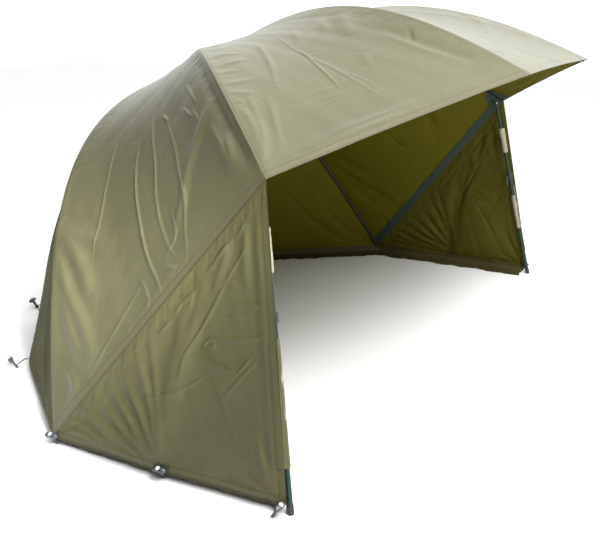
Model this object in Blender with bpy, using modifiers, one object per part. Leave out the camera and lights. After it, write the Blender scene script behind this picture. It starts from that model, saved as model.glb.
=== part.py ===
"""Oval fishing umbrella, pitched as a shelter.

Eight curved ribs fold on a slotted hub. The whole umbrella leans back, so that the front ribs hang out as a
raised peak and the side and rear ribs reach the ground. Two storm poles hold up the front corners, and a
storm wing closes each side between its pole and the canopy. +X is to the right, -Y is the open front and +Z
is up, in metres.
"""

import math

import bpy
from mathutils import Matrix, Vector

# Clearances
GAP = 0.0003
HINGE_GAP = 0.0004
OVERRUN = 0.004

# Hub's place, behind the line through the side rib tips and above the ground, and the lean of its axis
HUB_BACK = 0.2576
HUB_HEIGHT = 1.045
LEAN_DEG = 28.3

# Rib tips: out from the middle plane, forward of the side rib tips and above the ground
FRONT_TIP_OUT = 0.428
FRONT_TIP_FORWARD = 1.186
FRONT_TIP_HEIGHT = 1.107
CORNER_TIP_OUT = 1.104
CORNER_TIP_FORWARD = 0.687
CORNER_TIP_HEIGHT = 0.868
SIDE_TIP_OUT = 1.251
REAR_TIP_OUT = 0.432
REAR_TIP_BACK = 0.862
HEM_HEIGHT = 0.030

# The bend of every rib, as shares of its reach and of its drop
ROOT_REACH_SHARE = 0.549
ROOT_RISE_SHARE = 0.051
TIP_REACH_SHARE = 0.746
TIP_DROP_SHARE = 0.296

# Ribs
RIB_RADIUS = 0.007
RIB_STEPS = 14
RIB_START = 0.022
RIB_END_INSET = 0.012
TONGUE_RADIUS = 0.0055
TONGUE_THICKNESS = 0.006
TONGUE_OVERLAP = 0.018
BRACKET_RADIUS = 0.0075
BRACKET_THICKNESS = 0.005
BRACKET_TOP_DROP = 0.003

# Hub, its wire ring and the crown cap
PIVOT_RADIUS = 0.038
WIRE_RADIUS = 0.0015
HUB_RADIUS = 0.046
HUB_TOP = 0.0085
HUB_BOTTOM = 0.012
HUB_CHAMFER = 0.002
SLOT_WIDTH = 0.007
SLOT_FLOOR_RADIUS = 0.031
SOCKET_DEPTH = 0.009
CAP_BOLT_RADIUS = 0.004
CAP_BOLT_DEPTH = 0.008
CAP_RADIUS = 0.058
CAP_CROWN = 0.011
CAP_RIM = 0.003
CAP_SEAT_RADIUS = 0.012

# Links between the ribs and the runner. The two links of each loop are equally long.
LINK_REACH = 0.160
LINK_DROP = 0.046
FOLD_DEG = 42.0
LINK_RADIUS = 0.0045
LINK_EYE_RADIUS = 0.0055
LINK_EYE_THICKNESS = 0.005
LINK_TONGUE_LENGTH = 0.035
LINK_PIN_RADIUS = 0.0022
FORK_RADIUS = 0.0065
FORK_LENGTH = 0.020
CHEEK_THICKNESS = 0.003

# Shaft, runner and the runner's thumb screw
SHAFT_RADIUS = 0.0125
SHAFT_WALL = 0.0015
SHAFT_LENGTH = 0.330
SHAFT_END_ROUND = 0.0012
RUNNER_SLEEVE_RADIUS = 0.018
RUNNER_SLEEVE_LENGTH = 0.040
RUNNER_FLANGE_THICKNESS = 0.012
RUNNER_GRIP_RADIUS = 0.0205
RUNNER_GRIP_LENGTH = 0.006
SCREW_RADIUS = 0.0028
SCREW_DROP = 0.026
SCREW_HEAD_RADIUS = 0.0095
SCREW_HEAD_THICKNESS = 0.008
SCREW_HEAD_ROUND = 0.0015

# Cloth of the canopy and the wings
CLOTH_THICKNESS = 0.0015
RIDGE_SHARE = 1.32
CENTRE_HOLE_RADIUS = 0.016
CLOTH_ROWS = 12
CLOTH_HALF_COLUMNS = 4
SAG_SHARE = 0.055
FRONT_HEM_SCALLOP_SHARE = 0.004
SKIRT_OUT = 0.868
SKIRT_BACK = 0.509
SKIRT_PULL_POWER = 3.0

# Storm wings
WING_COLUMNS = 14
WING_ROWS = 9
WING_END_SHARE = 0.975
WING_SEAM_GAP = 0.0010
WING_BACK_INSET = 0.034
WING_POLE_CLEARANCE = 0.0135
WING_PLEATS = 5
WING_PLEAT_DEPTH = 0.012

# Storm poles
POLE_FOOT_OUT = 1.246
POLE_FOOT_FORWARD = 0.832
POLE_INSET = 0.045
LUG_DROP = 0.024
LUG_RADIUS = 0.0065
LUG_THICKNESS = 0.005
POLE_PIN_RADIUS = 0.0025
POLE_PIN_HEAD_RADIUS = 0.0045
POLE_PIN_HEAD_THICKNESS = 0.0015
POLE_FORK_RADIUS = 0.0075
POLE_PLUG_TOP = 0.014
POLE_PLUG_LENGTH = 0.014
POLE_PLUG_RADIUS = 0.0085
POLE_SPIGOT_LENGTH = 0.027
UPPER_TUBE_RADIUS = 0.007
LOWER_TUBE_RADIUS = 0.0087
POLE_WALL = 0.0011
CLAMP_DROP = 0.360
TUBE_OVERLAP = 0.160
CLAMP_RADIUS = 0.0125
CLAMP_HEIGHT = 0.028
CLAMP_LIP = 0.006
CLAMP_EAR_REACH = 0.018
CLAMP_EAR_RADIUS = 0.0055
CLAMP_EAR_DROP = 0.010
LEVER_THICKNESS = 0.0084
LEVER_LENGTH = 0.038
LEVER_RADIUS = 0.005
LEVER_TIP_RADIUS = 0.0035
LEVER_PIN_RADIUS = 0.002
FOOT_LENGTH = 0.032
FOOT_RADIUS = 0.0105
FOOT_SPIGOT_LENGTH = 0.030

# Ground pegs. The three at the rear stand clear of the hem, and the others stand against it.
POLE_PEG_FORWARD = 0.795
WING_PEG_OUT = 1.268
WING_PEG_FORWARD = 0.417
SKIRT_PEG_OUT = 0.872
SKIRT_PEG_BACK = 0.562
REAR_PEG_OUT = 0.335
REAR_PEG_BACK = 0.990
PEG_LEAN_DEG = 32.0
PEG_BAR_HALF_LENGTH = 0.0165
PEG_BAR_RADIUS = 0.0085
PEG_BAR_THICKNESS = 0.014
PEG_BAR_HEIGHT = 0.044
PEG_WEB_TOP_SHARE = 0.55
PEG_WEB_THICKNESS = 0.008
PEG_NECK_WIDTH = 0.011
PEG_NECK_HEIGHT = 0.017
PEG_SHANK_DEPTH = 0.030
PEG_HOOK_RADIUS = 0.0024
PEG_HOOK_HEIGHT = 0.016
PEG_HOOK_REACH = 0.011
PEG_HOOK_DROP = 0.008
PEG_BEVEL = 0.0025
PEG_CORD_HEIGHT = 0.010
PEG_SAMPLES = 6

# Cords from the rear hem to its pegs
CORD_RADIUS = 0.002
CORD_HEM_SHARE = 0.08
CORD_LEAD = 0.010
CORD_STEPS = 5

# The block that trims everything at the ground
GROUND_HALF_SIZE = 3.0
GROUND_DEPTH = 0.20

ROUND_STEPS = 32
SMALL_STEPS = 16
TUBE_STEPS = 12
PIN_STEPS = 8
END_STEPS = 4

LEAN = math.radians(LEAN_DEG)
AXIS = Vector((0, math.sin(LEAN), math.cos(LEAN)))
HUB = Vector((0, HUB_BACK, HUB_HEIGHT))
RIDGE = (RIB_RADIUS + GAP + CLOTH_THICKNESS / 2) * RIDGE_SHARE
SIDES = {"left": -1, "right": 1}

# Colour, roughness and metallic value of each finish
FINISHES = {
    "canopy_cloth": ((0.36, 0.37, 0.25), 0.75, 0.0),
    "wing_cloth": ((0.25, 0.25, 0.15), 0.75, 0.0),
    "rib_metal": ((0.10, 0.12, 0.10), 0.40, 0.6),
    "black_plastic": ((0.03, 0.03, 0.03), 0.50, 0.0),
    "pole_metal": ((0.05, 0.10, 0.07), 0.35, 0.6),
    "bright_steel": ((0.70, 0.70, 0.70), 0.25, 1.0),
    "peg_plastic": ((0.09, 0.10, 0.11), 0.35, 0.0),
    "cord": ((0.05, 0.08, 0.05), 0.80, 0.0),
}


def clear_scene():
    for obj in list(bpy.data.objects):
        bpy.data.objects.remove(obj, do_unlink=True)


def new_collection(name):
    made = bpy.data.collections.new(name)
    bpy.context.scene.collection.children.link(made)
    return made


def finish_of(name):
    """The Principled material of a finish, made the first time that it is asked for."""
    found = bpy.data.materials.get(name)
    if found:
        return found
    colour, roughness, metallic = FINISHES[name]
    made = bpy.data.materials.new(name)
    made.use_nodes = True
    shader = made.node_tree.nodes["Principled BSDF"]
    shader.inputs["Base Color"].default_value = (*colour, 1)
    shader.inputs["Roughness"].default_value = roughness
    shader.inputs["Metallic"].default_value = metallic
    return made


def dress(obj, finish):
    obj.data.materials.clear()
    obj.data.materials.append(finish_of(finish))
    return obj


def new_object(name, data):
    """An object of the umbrella. What becomes a cutter is moved to the cutters' collection later."""
    obj = bpy.data.objects.new(name, data)
    bpy.data.collections["umbrella"].objects.link(obj)
    return obj


def to_cutters(obj):
    for holder in list(obj.users_collection):
        holder.objects.unlink(obj)
    bpy.data.collections["cutters"].objects.link(obj)
    obj.hide_render = True
    obj.display_type = "WIRE"
    return obj


def evaluated_mesh(obj):
    bpy.context.view_layer.update()
    graph = bpy.context.evaluated_depsgraph_get()
    return bpy.data.meshes.new_from_object(obj.evaluated_get(graph), depsgraph=graph)


def weld(mesh):
    """Merges the loose caps that a curve's mesh has."""
    import bmesh

    bm = bmesh.new()
    bm.from_mesh(mesh)
    bmesh.ops.remove_doubles(bm, verts=bm.verts, dist=GAP / 10)
    bmesh.ops.dissolve_degenerate(bm, edges=bm.edges, dist=GAP / 10)
    bmesh.ops.triangulate(bm, faces=[face for face in bm.faces if len(face.verts) > 4])
    bmesh.ops.recalc_face_normals(bm, faces=bm.faces)
    bm.to_mesh(mesh)
    bm.free()
    return mesh


def baked(obj, transform=None):
    """The object as a plain mesh, with its curve or its modifiers applied, in its own frame."""
    name = obj.name
    mesh = weld(evaluated_mesh(obj))
    if transform is not None:
        mesh.transform(transform)
    old = obj.data
    bpy.data.objects.remove(obj, do_unlink=True)
    if isinstance(old, bpy.types.Curve):
        bpy.data.curves.remove(old)
    made = new_object(name, mesh)
    made.name = name
    return made


def boolean(target, tool, operation):
    """Adds a Boolean that cuts the target with the tool, or joins the tool to it. Both are in the target's frame."""
    tool.matrix_world = target.matrix_world
    modifier = target.modifiers.new(operation.lower(), "BOOLEAN")
    modifier.operation = operation
    modifier.solver = "EXACT"
    modifier.object = to_cutters(tool)
    return target


def fuse(target, *tools):
    for tool in tools:
        boolean(target, tool, "UNION")
    return baked(target)


def cut(target, *tools):
    for tool in tools:
        boolean(target, tool, "DIFFERENCE")
    return baked(target)


def turned(name, profile, steps, closed=False):
    """A turned piece about Z. The profile runs down its outer side; a closed one is a tube's wall."""
    count = len(profile)
    mesh = bpy.data.meshes.new(name)
    edges = [(i, i + 1) for i in range(count - 1)]
    if closed:
        edges.append((count - 1, 0))
    mesh.from_pydata([(radius, 0, height) for radius, height in profile], edges, [])
    obj = new_object(name, mesh)
    screw = obj.modifiers.new("turn", "SCREW")
    screw.axis = "Z"
    screw.steps = steps
    screw.render_steps = steps
    screw.use_merge_vertices = True
    screw.merge_threshold = GAP / 10
    screw.use_smooth_shade = True
    return baked(obj)


def capsule(start, end, radius, end_radius=None, arc_steps=END_STEPS):
    """The outline of a bar with round ends, as points in its plane."""
    end_radius = end_radius or radius
    along = end - start
    heading = math.atan2(along.y, along.x)
    points = []
    for centre, size, first in ((start, radius, heading + math.pi / 2), (end, end_radius, heading - math.pi / 2)):
        for step in range(arc_steps + 1):
            angle = first + math.pi * step / arc_steps
            points.append(centre + Vector((math.cos(angle), math.sin(angle))) * size)
    return points


def circle(centre, radius, steps=PIN_STEPS):
    turns = [2 * math.pi * step / steps for step in range(steps)]
    return [centre + Vector((math.cos(turn), math.sin(turn))) * radius for turn in turns]


# An outline in X and Y stands up in X and Z, so that its thickness lies along Y
UPRIGHT = Matrix(((1, 0, 0, 0), (0, 0, -1, 0), (0, 1, 0, 0), (0, 0, 0, 1)))


def plate(name, outlines, thickness, stand=UPRIGHT):
    """A flat plate. The first outline is its edge and the others are its holes."""
    curve = bpy.data.curves.new(name, "CURVE")
    curve.dimensions = "2D"
    curve.fill_mode = "BOTH"
    curve.extrude = thickness / 2
    for outline in outlines:
        spline = curve.splines.new("POLY")
        spline.points.add(len(outline) - 1)
        for point, place in zip(spline.points, outline):
            point.co = (place.x, place.y, 0, 1)
        spline.use_cyclic_u = True
    return baked(new_object(name, curve), stand)


def rod(name, points, radius, resolution=2):
    """A round rod or tube along a row of points, with filled ends."""
    curve = bpy.data.curves.new(name, "CURVE")
    curve.dimensions = "3D"
    curve.bevel_depth = radius
    curve.bevel_resolution = resolution
    curve.use_fill_caps = True
    spline = curve.splines.new("POLY")
    spline.points.add(len(points) - 1)
    for point, place in zip(spline.points, points):
        point.co = (*place, 1)
    return baked(new_object(name, curve))


def block(name, low, high):
    """A box between two corners."""
    bpy.ops.mesh.primitive_cube_add(size=1)
    obj = bpy.context.object
    for holder in list(obj.users_collection):
        holder.objects.unlink(obj)
    bpy.data.collections["umbrella"].objects.link(obj)
    obj.name = name
    size = high - low
    middle = (high + low) / 2
    obj.data.transform(Matrix.Translation(middle) @ Matrix.Diagonal((*size, 1)))
    return obj


def frame_of(origin, x_axis, y_axis, z_axis):
    """The placing of a local frame, from its origin and its three directions."""
    columns = Matrix((x_axis, y_axis, z_axis)).transposed()
    return Matrix.Translation(origin) @ columns.to_4x4()


UMBRELLA_FRAME = frame_of(HUB, Vector((1, 0, 0)), AXIS.cross(Vector((1, 0, 0))), AXIS)


def crossing(function, wanted, low=0.0, high=1.0):
    """Where a rising function reaches a wanted value, found by halving."""
    for _ in range(50):
        middle = (low + high) / 2
        if function(middle) < wanted:
            low = middle
        else:
            high = middle
    return (low + high) / 2


class Rib:
    """One rib: a bent tube in the plane of the umbrella's axis and the rib's own tip."""

    def __init__(self, name, side, out, forward, height):
        self.name = f"{name}_{side}"
        self.tip = Vector((SIDES[side] * out, -forward, height))
        self.grounded = height == HEM_HEIGHT
        arm = self.tip - HUB
        self.rise = arm.dot(AXIS)
        flat = arm - AXIS * self.rise
        self.reach = flat.length
        self.out = flat.normalized()
        self.hinge = AXIS.cross(self.out)
        self.frame = frame_of(HUB + self.out * PIVOT_RADIUS, self.out, self.hinge, AXIS)
        self.bend = (
            Vector((0, 0)),
            Vector((ROOT_REACH_SHARE * self.reach, -ROOT_RISE_SHARE * self.rise)),
            Vector((TIP_REACH_SHARE * self.reach, TIP_DROP_SHARE * self.rise)),
            Vector((self.reach, self.rise)),
        )

    def profile(self, share):
        """How far out and how far up the axis the rib is, at a share of its bend."""
        a, b, c, d = self.bend
        rest = 1 - share
        return a * rest**3 + b * 3 * rest**2 * share + c * 3 * rest * share**2 + d * share**3

    def heading(self, share):
        a, b, c, d = self.bend
        rest = 1 - share
        way = (b - a) * rest**2 + (c - b) * 2 * rest * share + (d - c) * share**2
        return way.normalized()

    def point(self, share):
        out, up = self.profile(share)
        return HUB + self.out * out + AXIS * up

    def along(self, share):
        out, up = self.heading(share)
        return self.out * out + AXIS * up

    def outward(self, share):
        """The direction square to the rib, away from the shelter."""
        out, up = self.heading(share)
        return AXIS * out - self.out * up

    def over(self, share):
        """A point on the canopy above the rib."""
        return self.point(share) + self.outward(share) * RIDGE

    def share_at(self, reach):
        return crossing(lambda share: self.profile(share).x, reach)

    def share_before_tip(self, inset):
        return crossing(lambda share: -(self.tip - self.point(share)).length, -inset)

    def local(self, share):
        out, up = self.profile(share)
        return Vector((out - PIVOT_RADIUS, 0, up))


def ribs_in_order():
    """The ribs, round the umbrella from the front left one by the left side and the back to the front right one."""
    kinds = (
        ("front", FRONT_TIP_OUT, FRONT_TIP_FORWARD, FRONT_TIP_HEIGHT),
        ("corner", CORNER_TIP_OUT, CORNER_TIP_FORWARD, CORNER_TIP_HEIGHT),
        ("side", SIDE_TIP_OUT, 0, HEM_HEIGHT),
        ("rear", REAR_TIP_OUT, -REAR_TIP_BACK, HEM_HEIGHT),
    )
    left = [Rib(name, "left", *place) for name, *place in kinds]
    right = [Rib(name, "right", *place) for name, *place in kinds]
    return left + right[::-1]


RIBS = ribs_in_order()

# The hinge pin under the rib, and the lean of a link, in the plane of a rib
LINK_ANGLE = math.asin(LINK_DROP / 2 / LINK_REACH)
LINK_PIN = Vector((LINK_REACH * math.cos(LINK_ANGLE), -LINK_DROP / 2))
LINK_OPEN = math.pi / 2 - LINK_ANGLE
RUNNER_TRAVEL = 2 * LINK_REACH * math.cos(LINK_OPEN - math.radians(FOLD_DEG)) - LINK_DROP


def new_pivot(name, frame, carrier):
    """An empty on a joint's axis, which carries the pieces of one moving body."""
    pivot = new_object(name, None)
    pivot.empty_display_size = PIVOT_RADIUS
    pivot.matrix_world = frame
    return mounted(pivot, carrier)


def mounted(obj, carrier):
    """Parents the object where it stands."""
    bpy.context.view_layer.update()
    placed = obj.matrix_world.copy()
    obj.parent = carrier
    obj.matrix_parent_inverse = carrier.matrix_world.inverted()
    obj.matrix_world = placed
    return obj


def placed(obj, frame, carrier, finish):
    obj.matrix_world = frame
    dress(obj, finish)
    obj.data.set_sharp_from_angle(angle=math.radians(35))
    return mounted(obj, carrier)


def slots(name, thickness):
    """The radial slots for all eight ribs or links, as one cutter in the umbrella's frame."""
    import bmesh

    bm = bmesh.new()
    inner = Vector((SLOT_FLOOR_RADIUS, -SLOT_WIDTH / 2, -thickness / 2 - OVERRUN))
    outer = Vector((HUB_RADIUS + OVERRUN, SLOT_WIDTH / 2, thickness / 2 + OVERRUN))
    size = outer - inner
    middle = (outer + inner) / 2
    for rib in RIBS:
        local = UMBRELLA_FRAME.inverted().to_3x3() @ rib.out
        turn = Matrix.Rotation(math.atan2(local.y, local.x), 4, "Z")
        place = turn @ Matrix.Translation(middle) @ Matrix.Diagonal((*size, 1))
        bmesh.ops.create_cube(bm, size=1, matrix=place)
    mesh = bpy.data.meshes.new(name)
    bm.to_mesh(mesh)
    bm.free()
    return new_object(name, mesh)


def make_hub(root):
    groove_half = WIRE_RADIUS + HINGE_GAP
    bore = CAP_BOLT_RADIUS + GAP
    socket = SHAFT_RADIUS + GAP
    floor = HUB_TOP - CAP_BOLT_DEPTH
    profile = [
        (0, floor),
        (bore, floor),
        (bore, HUB_TOP),
        (PIVOT_RADIUS - groove_half, HUB_TOP),
        (PIVOT_RADIUS - groove_half, -groove_half),
        (PIVOT_RADIUS + groove_half, -groove_half),
        (PIVOT_RADIUS + groove_half, HUB_TOP),
        (HUB_RADIUS - HUB_CHAMFER, HUB_TOP),
        (HUB_RADIUS, HUB_TOP - HUB_CHAMFER),
        (HUB_RADIUS, -HUB_BOTTOM + HUB_CHAMFER),
        (HUB_RADIUS - HUB_CHAMFER, -HUB_BOTTOM),
        (socket, -HUB_BOTTOM),
        (socket, -HUB_BOTTOM + SOCKET_DEPTH),
        (0, -HUB_BOTTOM + SOCKET_DEPTH),
    ]
    hub = cut(turned("hub", profile, ROUND_STEPS), slots("hub_slots", 2 * HUB_BOTTOM))
    placed(hub, UMBRELLA_FRAME, root, "black_plastic")

    bpy.ops.mesh.primitive_torus_add(
        major_radius=PIVOT_RADIUS, minor_radius=WIRE_RADIUS, major_segments=32, minor_segments=6
    )
    ring = bpy.context.object
    ring.name = "hub_wire_ring"
    for holder in list(ring.users_collection):
        holder.objects.unlink(ring)
    bpy.data.collections["umbrella"].objects.link(ring)
    placed(ring, UMBRELLA_FRAME, root, "bright_steel")


def make_crown_cap(root):
    """The dome that clamps the canopy's centre to the hub."""
    steepest = max(rib.heading(0).y / rib.heading(0).x for rib in RIBS)
    cloth_top = RIDGE + CLOTH_THICKNESS / 2 + 2 * GAP
    rim = cloth_top + steepest * CAP_RADIUS
    seat = cloth_top + steepest * CENTRE_HOLE_RADIUS
    dome = []
    for step in range(5):
        turn = math.pi / 2 * step / 5
        dome.append((CAP_RADIUS * math.sin(turn), rim + CAP_RIM + CAP_CROWN * math.cos(turn)))
    profile = dome + [
        (CAP_RADIUS, rim + CAP_RIM),
        (CAP_RADIUS, rim),
        (CAP_SEAT_RADIUS, seat),
        (CAP_SEAT_RADIUS, HUB_TOP + GAP),
        (CAP_BOLT_RADIUS, HUB_TOP + GAP),
        (CAP_BOLT_RADIUS, HUB_TOP - CAP_BOLT_DEPTH + GAP),
        (0, HUB_TOP - CAP_BOLT_DEPTH + GAP),
    ]
    placed(turned("crown_cap", profile, ROUND_STEPS), UMBRELLA_FRAME, root, "black_plastic")


def make_shaft(root):
    """The short tube under the hub, with its lower end closed."""
    top = -HUB_BOTTOM + SOCKET_DEPTH - GAP
    inner = SHAFT_RADIUS - SHAFT_WALL
    profile = [
        (0, -SHAFT_LENGTH + SHAFT_WALL),
        (inner, -SHAFT_LENGTH + SHAFT_WALL),
        (inner, top),
        (SHAFT_RADIUS, top),
        (SHAFT_RADIUS, -SHAFT_LENGTH + SHAFT_END_ROUND),
        (SHAFT_RADIUS - SHAFT_END_ROUND, -SHAFT_LENGTH),
        (0, -SHAFT_LENGTH),
    ]
    placed(turned("centre_shaft", profile, ROUND_STEPS // 2), UMBRELLA_FRAME, root, "rib_metal")


def make_runner(root):
    frame = UMBRELLA_FRAME @ Matrix.Translation((0, 0, -LINK_DROP))
    slide = new_pivot("runner_slide", frame, root)
    bore = SHAFT_RADIUS + GAP
    half = RUNNER_FLANGE_THICKNESS / 2
    bottom = -half - RUNNER_SLEEVE_LENGTH
    profile = [
        (HUB_RADIUS, half),
        (HUB_RADIUS, -half),
        (RUNNER_SLEEVE_RADIUS, -half),
        (RUNNER_SLEEVE_RADIUS, bottom + RUNNER_GRIP_LENGTH),
        (RUNNER_GRIP_RADIUS, bottom + RUNNER_GRIP_LENGTH),
        (RUNNER_GRIP_RADIUS, bottom),
        (bore, bottom),
        (bore, half),
    ]
    runner = turned("runner", profile, ROUND_STEPS, closed=True)
    # The thumb screw's axis is square to the shaft, at the back of the umbrella
    screw_frame = frame @ Matrix.Translation((0, 0, -SCREW_DROP)) @ Matrix.Rotation(-math.pi / 2, 4, "X")
    hole_radius = SCREW_RADIUS + GAP
    hole = turned("screw_hole", [(0, HUB_RADIUS), (hole_radius, HUB_RADIUS), (hole_radius, 0), (0, 0)], TUBE_STEPS)
    hole.data.transform(frame.inverted() @ screw_frame)
    runner = cut(runner, slots("runner_slots", RUNNER_FLANGE_THICKNESS), hole)
    placed(runner, frame, slide, "black_plastic")

    turn = new_pivot("thumb_screw_turn", screw_frame, slide)
    seat = RUNNER_SLEEVE_RADIUS + GAP
    top = seat + SCREW_HEAD_THICKNESS
    profile = [
        (0, top),
        (SCREW_HEAD_RADIUS - SCREW_HEAD_ROUND, top),
        (SCREW_HEAD_RADIUS, top - SCREW_HEAD_ROUND),
        (SCREW_HEAD_RADIUS, seat),
        (SCREW_RADIUS, seat),
        (SCREW_RADIUS, bore),
        (0, bore),
    ]
    placed(turned("thumb_screw", profile, SMALL_STEPS), screw_frame, turn, "black_plastic")


def pole_line(rib):
    """Where a storm pole starts on its rib, its foot on the ground and its direction down."""
    side = 1 if rib.tip.x > 0 else -1
    share = rib.share_before_tip(POLE_INSET)
    start = rib.point(share)
    foot = Vector((side * POLE_FOOT_OUT, -POLE_FOOT_FORWARD, 0))
    return start, foot, (foot - start).normalized(), rib.along(share)


def pole_frame(rib):
    """The storm pole's own frame: its origin on the hinge pin, Z up the pole and Y along the pin."""
    start, foot, down, along = pole_line(rib)
    pin = down.cross(along).normalized()
    return frame_of(start + down * LUG_DROP, pin.cross(-down), pin, -down)


def make_rib(rib, root):
    pivot = new_pivot(f"{rib.name}_rib_pivot", rib.frame, root)
    first = rib.share_at(PIVOT_RADIUS + RIB_START)
    last = rib.share_before_tip(RIB_END_INSET)
    shares = [first + (last - first) * step / RIB_STEPS for step in range(RIB_STEPS + 1)]
    tube = rod(f"{rib.name}_rib", [rib.local(share) for share in shares], RIB_RADIUS)

    inside = rib.local(rib.share_at(PIVOT_RADIUS + RIB_START + TONGUE_OVERLAP))
    eye = circle(Vector((0, 0)), WIRE_RADIUS + HINGE_GAP + GAP)
    edge = capsule(Vector((0, 0)), inside.xz, TONGUE_RADIUS)
    tongue = plate("tongue", [edge, eye], TONGUE_THICKNESS)

    above = rib.local(rib.share_at(PIVOT_RADIUS + LINK_PIN.x)).z - BRACKET_TOP_DROP
    edge = capsule(Vector((LINK_PIN.x, above)), LINK_PIN, BRACKET_RADIUS)
    eye = circle(LINK_PIN, LINK_PIN_RADIUS + HINGE_GAP)
    bracket = plate("bracket", [edge, eye], BRACKET_THICKNESS)
    tools = [tongue, bracket]
    if rib.name.startswith("corner"):
        tools.append(make_pole_lug(rib))
    placed(fuse(tube, *tools), rib.frame, pivot, "rib_metal")
    return pivot


def make_pole_lug(rib):
    """The eye under a corner rib that carries its storm pole, in the rib's frame."""
    edge = capsule(Vector((0, 0)), Vector((0, LUG_DROP - BRACKET_TOP_DROP)), LUG_RADIUS)
    eye = circle(Vector((0, 0)), POLE_PIN_RADIUS + HINGE_GAP)
    lug = plate("pole_lug", [edge, eye], LUG_THICKNESS)
    lug.data.transform(rib.frame.inverted() @ pole_frame(rib))
    return lug


def make_link_mesh():
    """The link that all eight ribs share: a fork and its pin at the rib's end, and an eye at the runner's end."""
    width = BRACKET_THICKNESS + 2 * (HINGE_GAP + CHEEK_THICKNESS)
    start = Vector((0, 0))
    fork = plate("link", [capsule(start, Vector((FORK_LENGTH, 0)), FORK_RADIUS)], width)
    mouth_end = BRACKET_RADIUS + 2 * LINK_PIN_RADIUS / 2
    half = BRACKET_THICKNESS / 2 + HINGE_GAP
    reach = FORK_RADIUS + OVERRUN
    mouth = block("mouth", Vector((-reach, -half, -reach)), Vector((mouth_end, half, reach)))
    fork = cut(fork, mouth)
    pin = turned(
        "pin",
        [
            (0, half + CHEEK_THICKNESS / 2),
            (LINK_PIN_RADIUS, half + CHEEK_THICKNESS / 2),
            (LINK_PIN_RADIUS, -half - CHEEK_THICKNESS / 2),
            (0, -half - CHEEK_THICKNESS / 2),
        ],
        TUBE_STEPS,
    )
    pin.data.transform(Matrix.Rotation(math.pi / 2, 4, "X"))
    tongue_start = LINK_REACH - LINK_TONGUE_LENGTH
    bar = rod(
        "bar", [Vector((FORK_LENGTH, 0, 0)), Vector((tongue_start, 0, 0))], LINK_RADIUS
    )
    edge = capsule(
        Vector((tongue_start - LINK_TONGUE_LENGTH / 4, 0)), Vector((LINK_REACH, 0)), LINK_RADIUS * 0.8, LINK_EYE_RADIUS
    )
    eye = plate("eye", [edge, circle(Vector((LINK_REACH, 0)), WIRE_RADIUS)], LINK_EYE_THICKNESS)
    return fuse(fork, pin, bar, eye)


def link_frame(rib):
    """A link's own frame: its origin on the rib's pin, X towards the runner and Y along the pin."""
    towards = Vector((-LINK_PIN.x, -LINK_DROP / 2)).normalized()
    x_axis = Vector((towards.x, 0, towards.y))
    y_axis = Vector((0, 1, 0))
    origin = Vector((LINK_PIN.x, 0, LINK_PIN.y))
    return rib.frame @ frame_of(origin, x_axis, y_axis, x_axis.cross(y_axis))


class Panel:
    """The cloth between two ribs: taut across, with a slight sag, and either free, pegged or sewn at its hem."""

    def __init__(self, first, second):
        self.first = first
        self.second = second
        self.grounded = first.grounded and second.grounded
        free = not first.grounded and not second.grounded
        self.scallop = FRONT_HEM_SCALLOP_SHARE if free else 0
        self.pull = Vector((0, 0, 0))
        if self.grounded and first.tip.x * second.tip.x > 0:
            side = 1 if first.tip.x > 0 else -1
            corner = Vector((side * SKIRT_OUT, SKIRT_BACK, 0))
            self.pull = corner - (first.over(1) + second.over(1)) / 2
            self.pull.z = 0

    def facing(self):
        """The level direction square to the hem's chord, away from the shelter."""
        chord = self.second.tip - self.first.tip
        square = Vector((chord.y, -chord.x, 0))
        return square if square.dot(self.first.tip) > 0 else -square

    def joins(self, *kinds):
        return {self.first.name.split("_")[0], self.second.name.split("_")[0]} == set(kinds)

    def point(self, along, across):
        arch = 4 * across * (1 - across)
        share = along * (1 - self.scallop * arch)
        start = self.first.over(share)
        end = self.second.over(share)
        if along == 1:
            for rib, hem in ((self.first, start), (self.second, end)):
                if rib.grounded:
                    hem.z = HEM_HEIGHT
        chord = end - start
        inward = -(self.first.outward(share) + self.second.outward(share)).normalized()
        sag = SAG_SHARE * chord.length * arch * math.sin(math.pi * along)
        tent = 1 - abs(2 * across - 1)
        place = start + chord * across + inward * sag
        place += self.pull * tent * along**SKIRT_PULL_POWER
        if self.grounded and along == 1:
            place.z = HEM_HEIGHT
        return place


PANELS = [Panel(RIBS[i - 1], RIBS[i]) for i in range(len(RIBS))]


def cloth(name, rows, finish, carrier):
    """A sheet through a grid of points, thickened evenly to both sides."""
    columns = len(rows[0])
    verts = [point for row in rows for point in row]
    faces = []
    for i in range(len(rows) - 1):
        for j in range(columns - 1):
            a = i * columns + j
            b = a + 1
            c = b + columns
            d = a + columns
            if (verts[a] - verts[c]).length < (verts[b] - verts[d]).length:
                faces += [(a, b, c), (a, c, d)]
            else:
                faces += [(a, b, d), (b, c, d)]
    mesh = bpy.data.meshes.new(name)
    mesh.from_pydata(verts, [], faces)
    sheet = new_object(name, mesh)
    solidify = sheet.modifiers.new("thickness", "SOLIDIFY")
    solidify.thickness = CLOTH_THICKNESS
    solidify.offset = 0
    solidify.use_even_offset = True
    solid = dress(baked(sheet), finish)
    solid.data.shade_smooth()
    return mounted(solid, carrier)


def trimmed(obj):
    """Cuts off what lies below the ground."""
    corner = Vector((GROUND_HALF_SIZE, GROUND_HALF_SIZE, 0))
    below = Vector((-GROUND_HALF_SIZE, -GROUND_HALF_SIZE, -GROUND_DEPTH))
    ground = block("ground", below, corner)
    modifier = obj.modifiers.new("ground", "BOOLEAN")
    modifier.operation = "DIFFERENCE"
    modifier.solver = "EXACT"
    modifier.object = to_cutters(ground)
    mesh = evaluated_mesh(obj)
    obj.modifiers.clear()
    obj.data = mesh
    return obj


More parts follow.
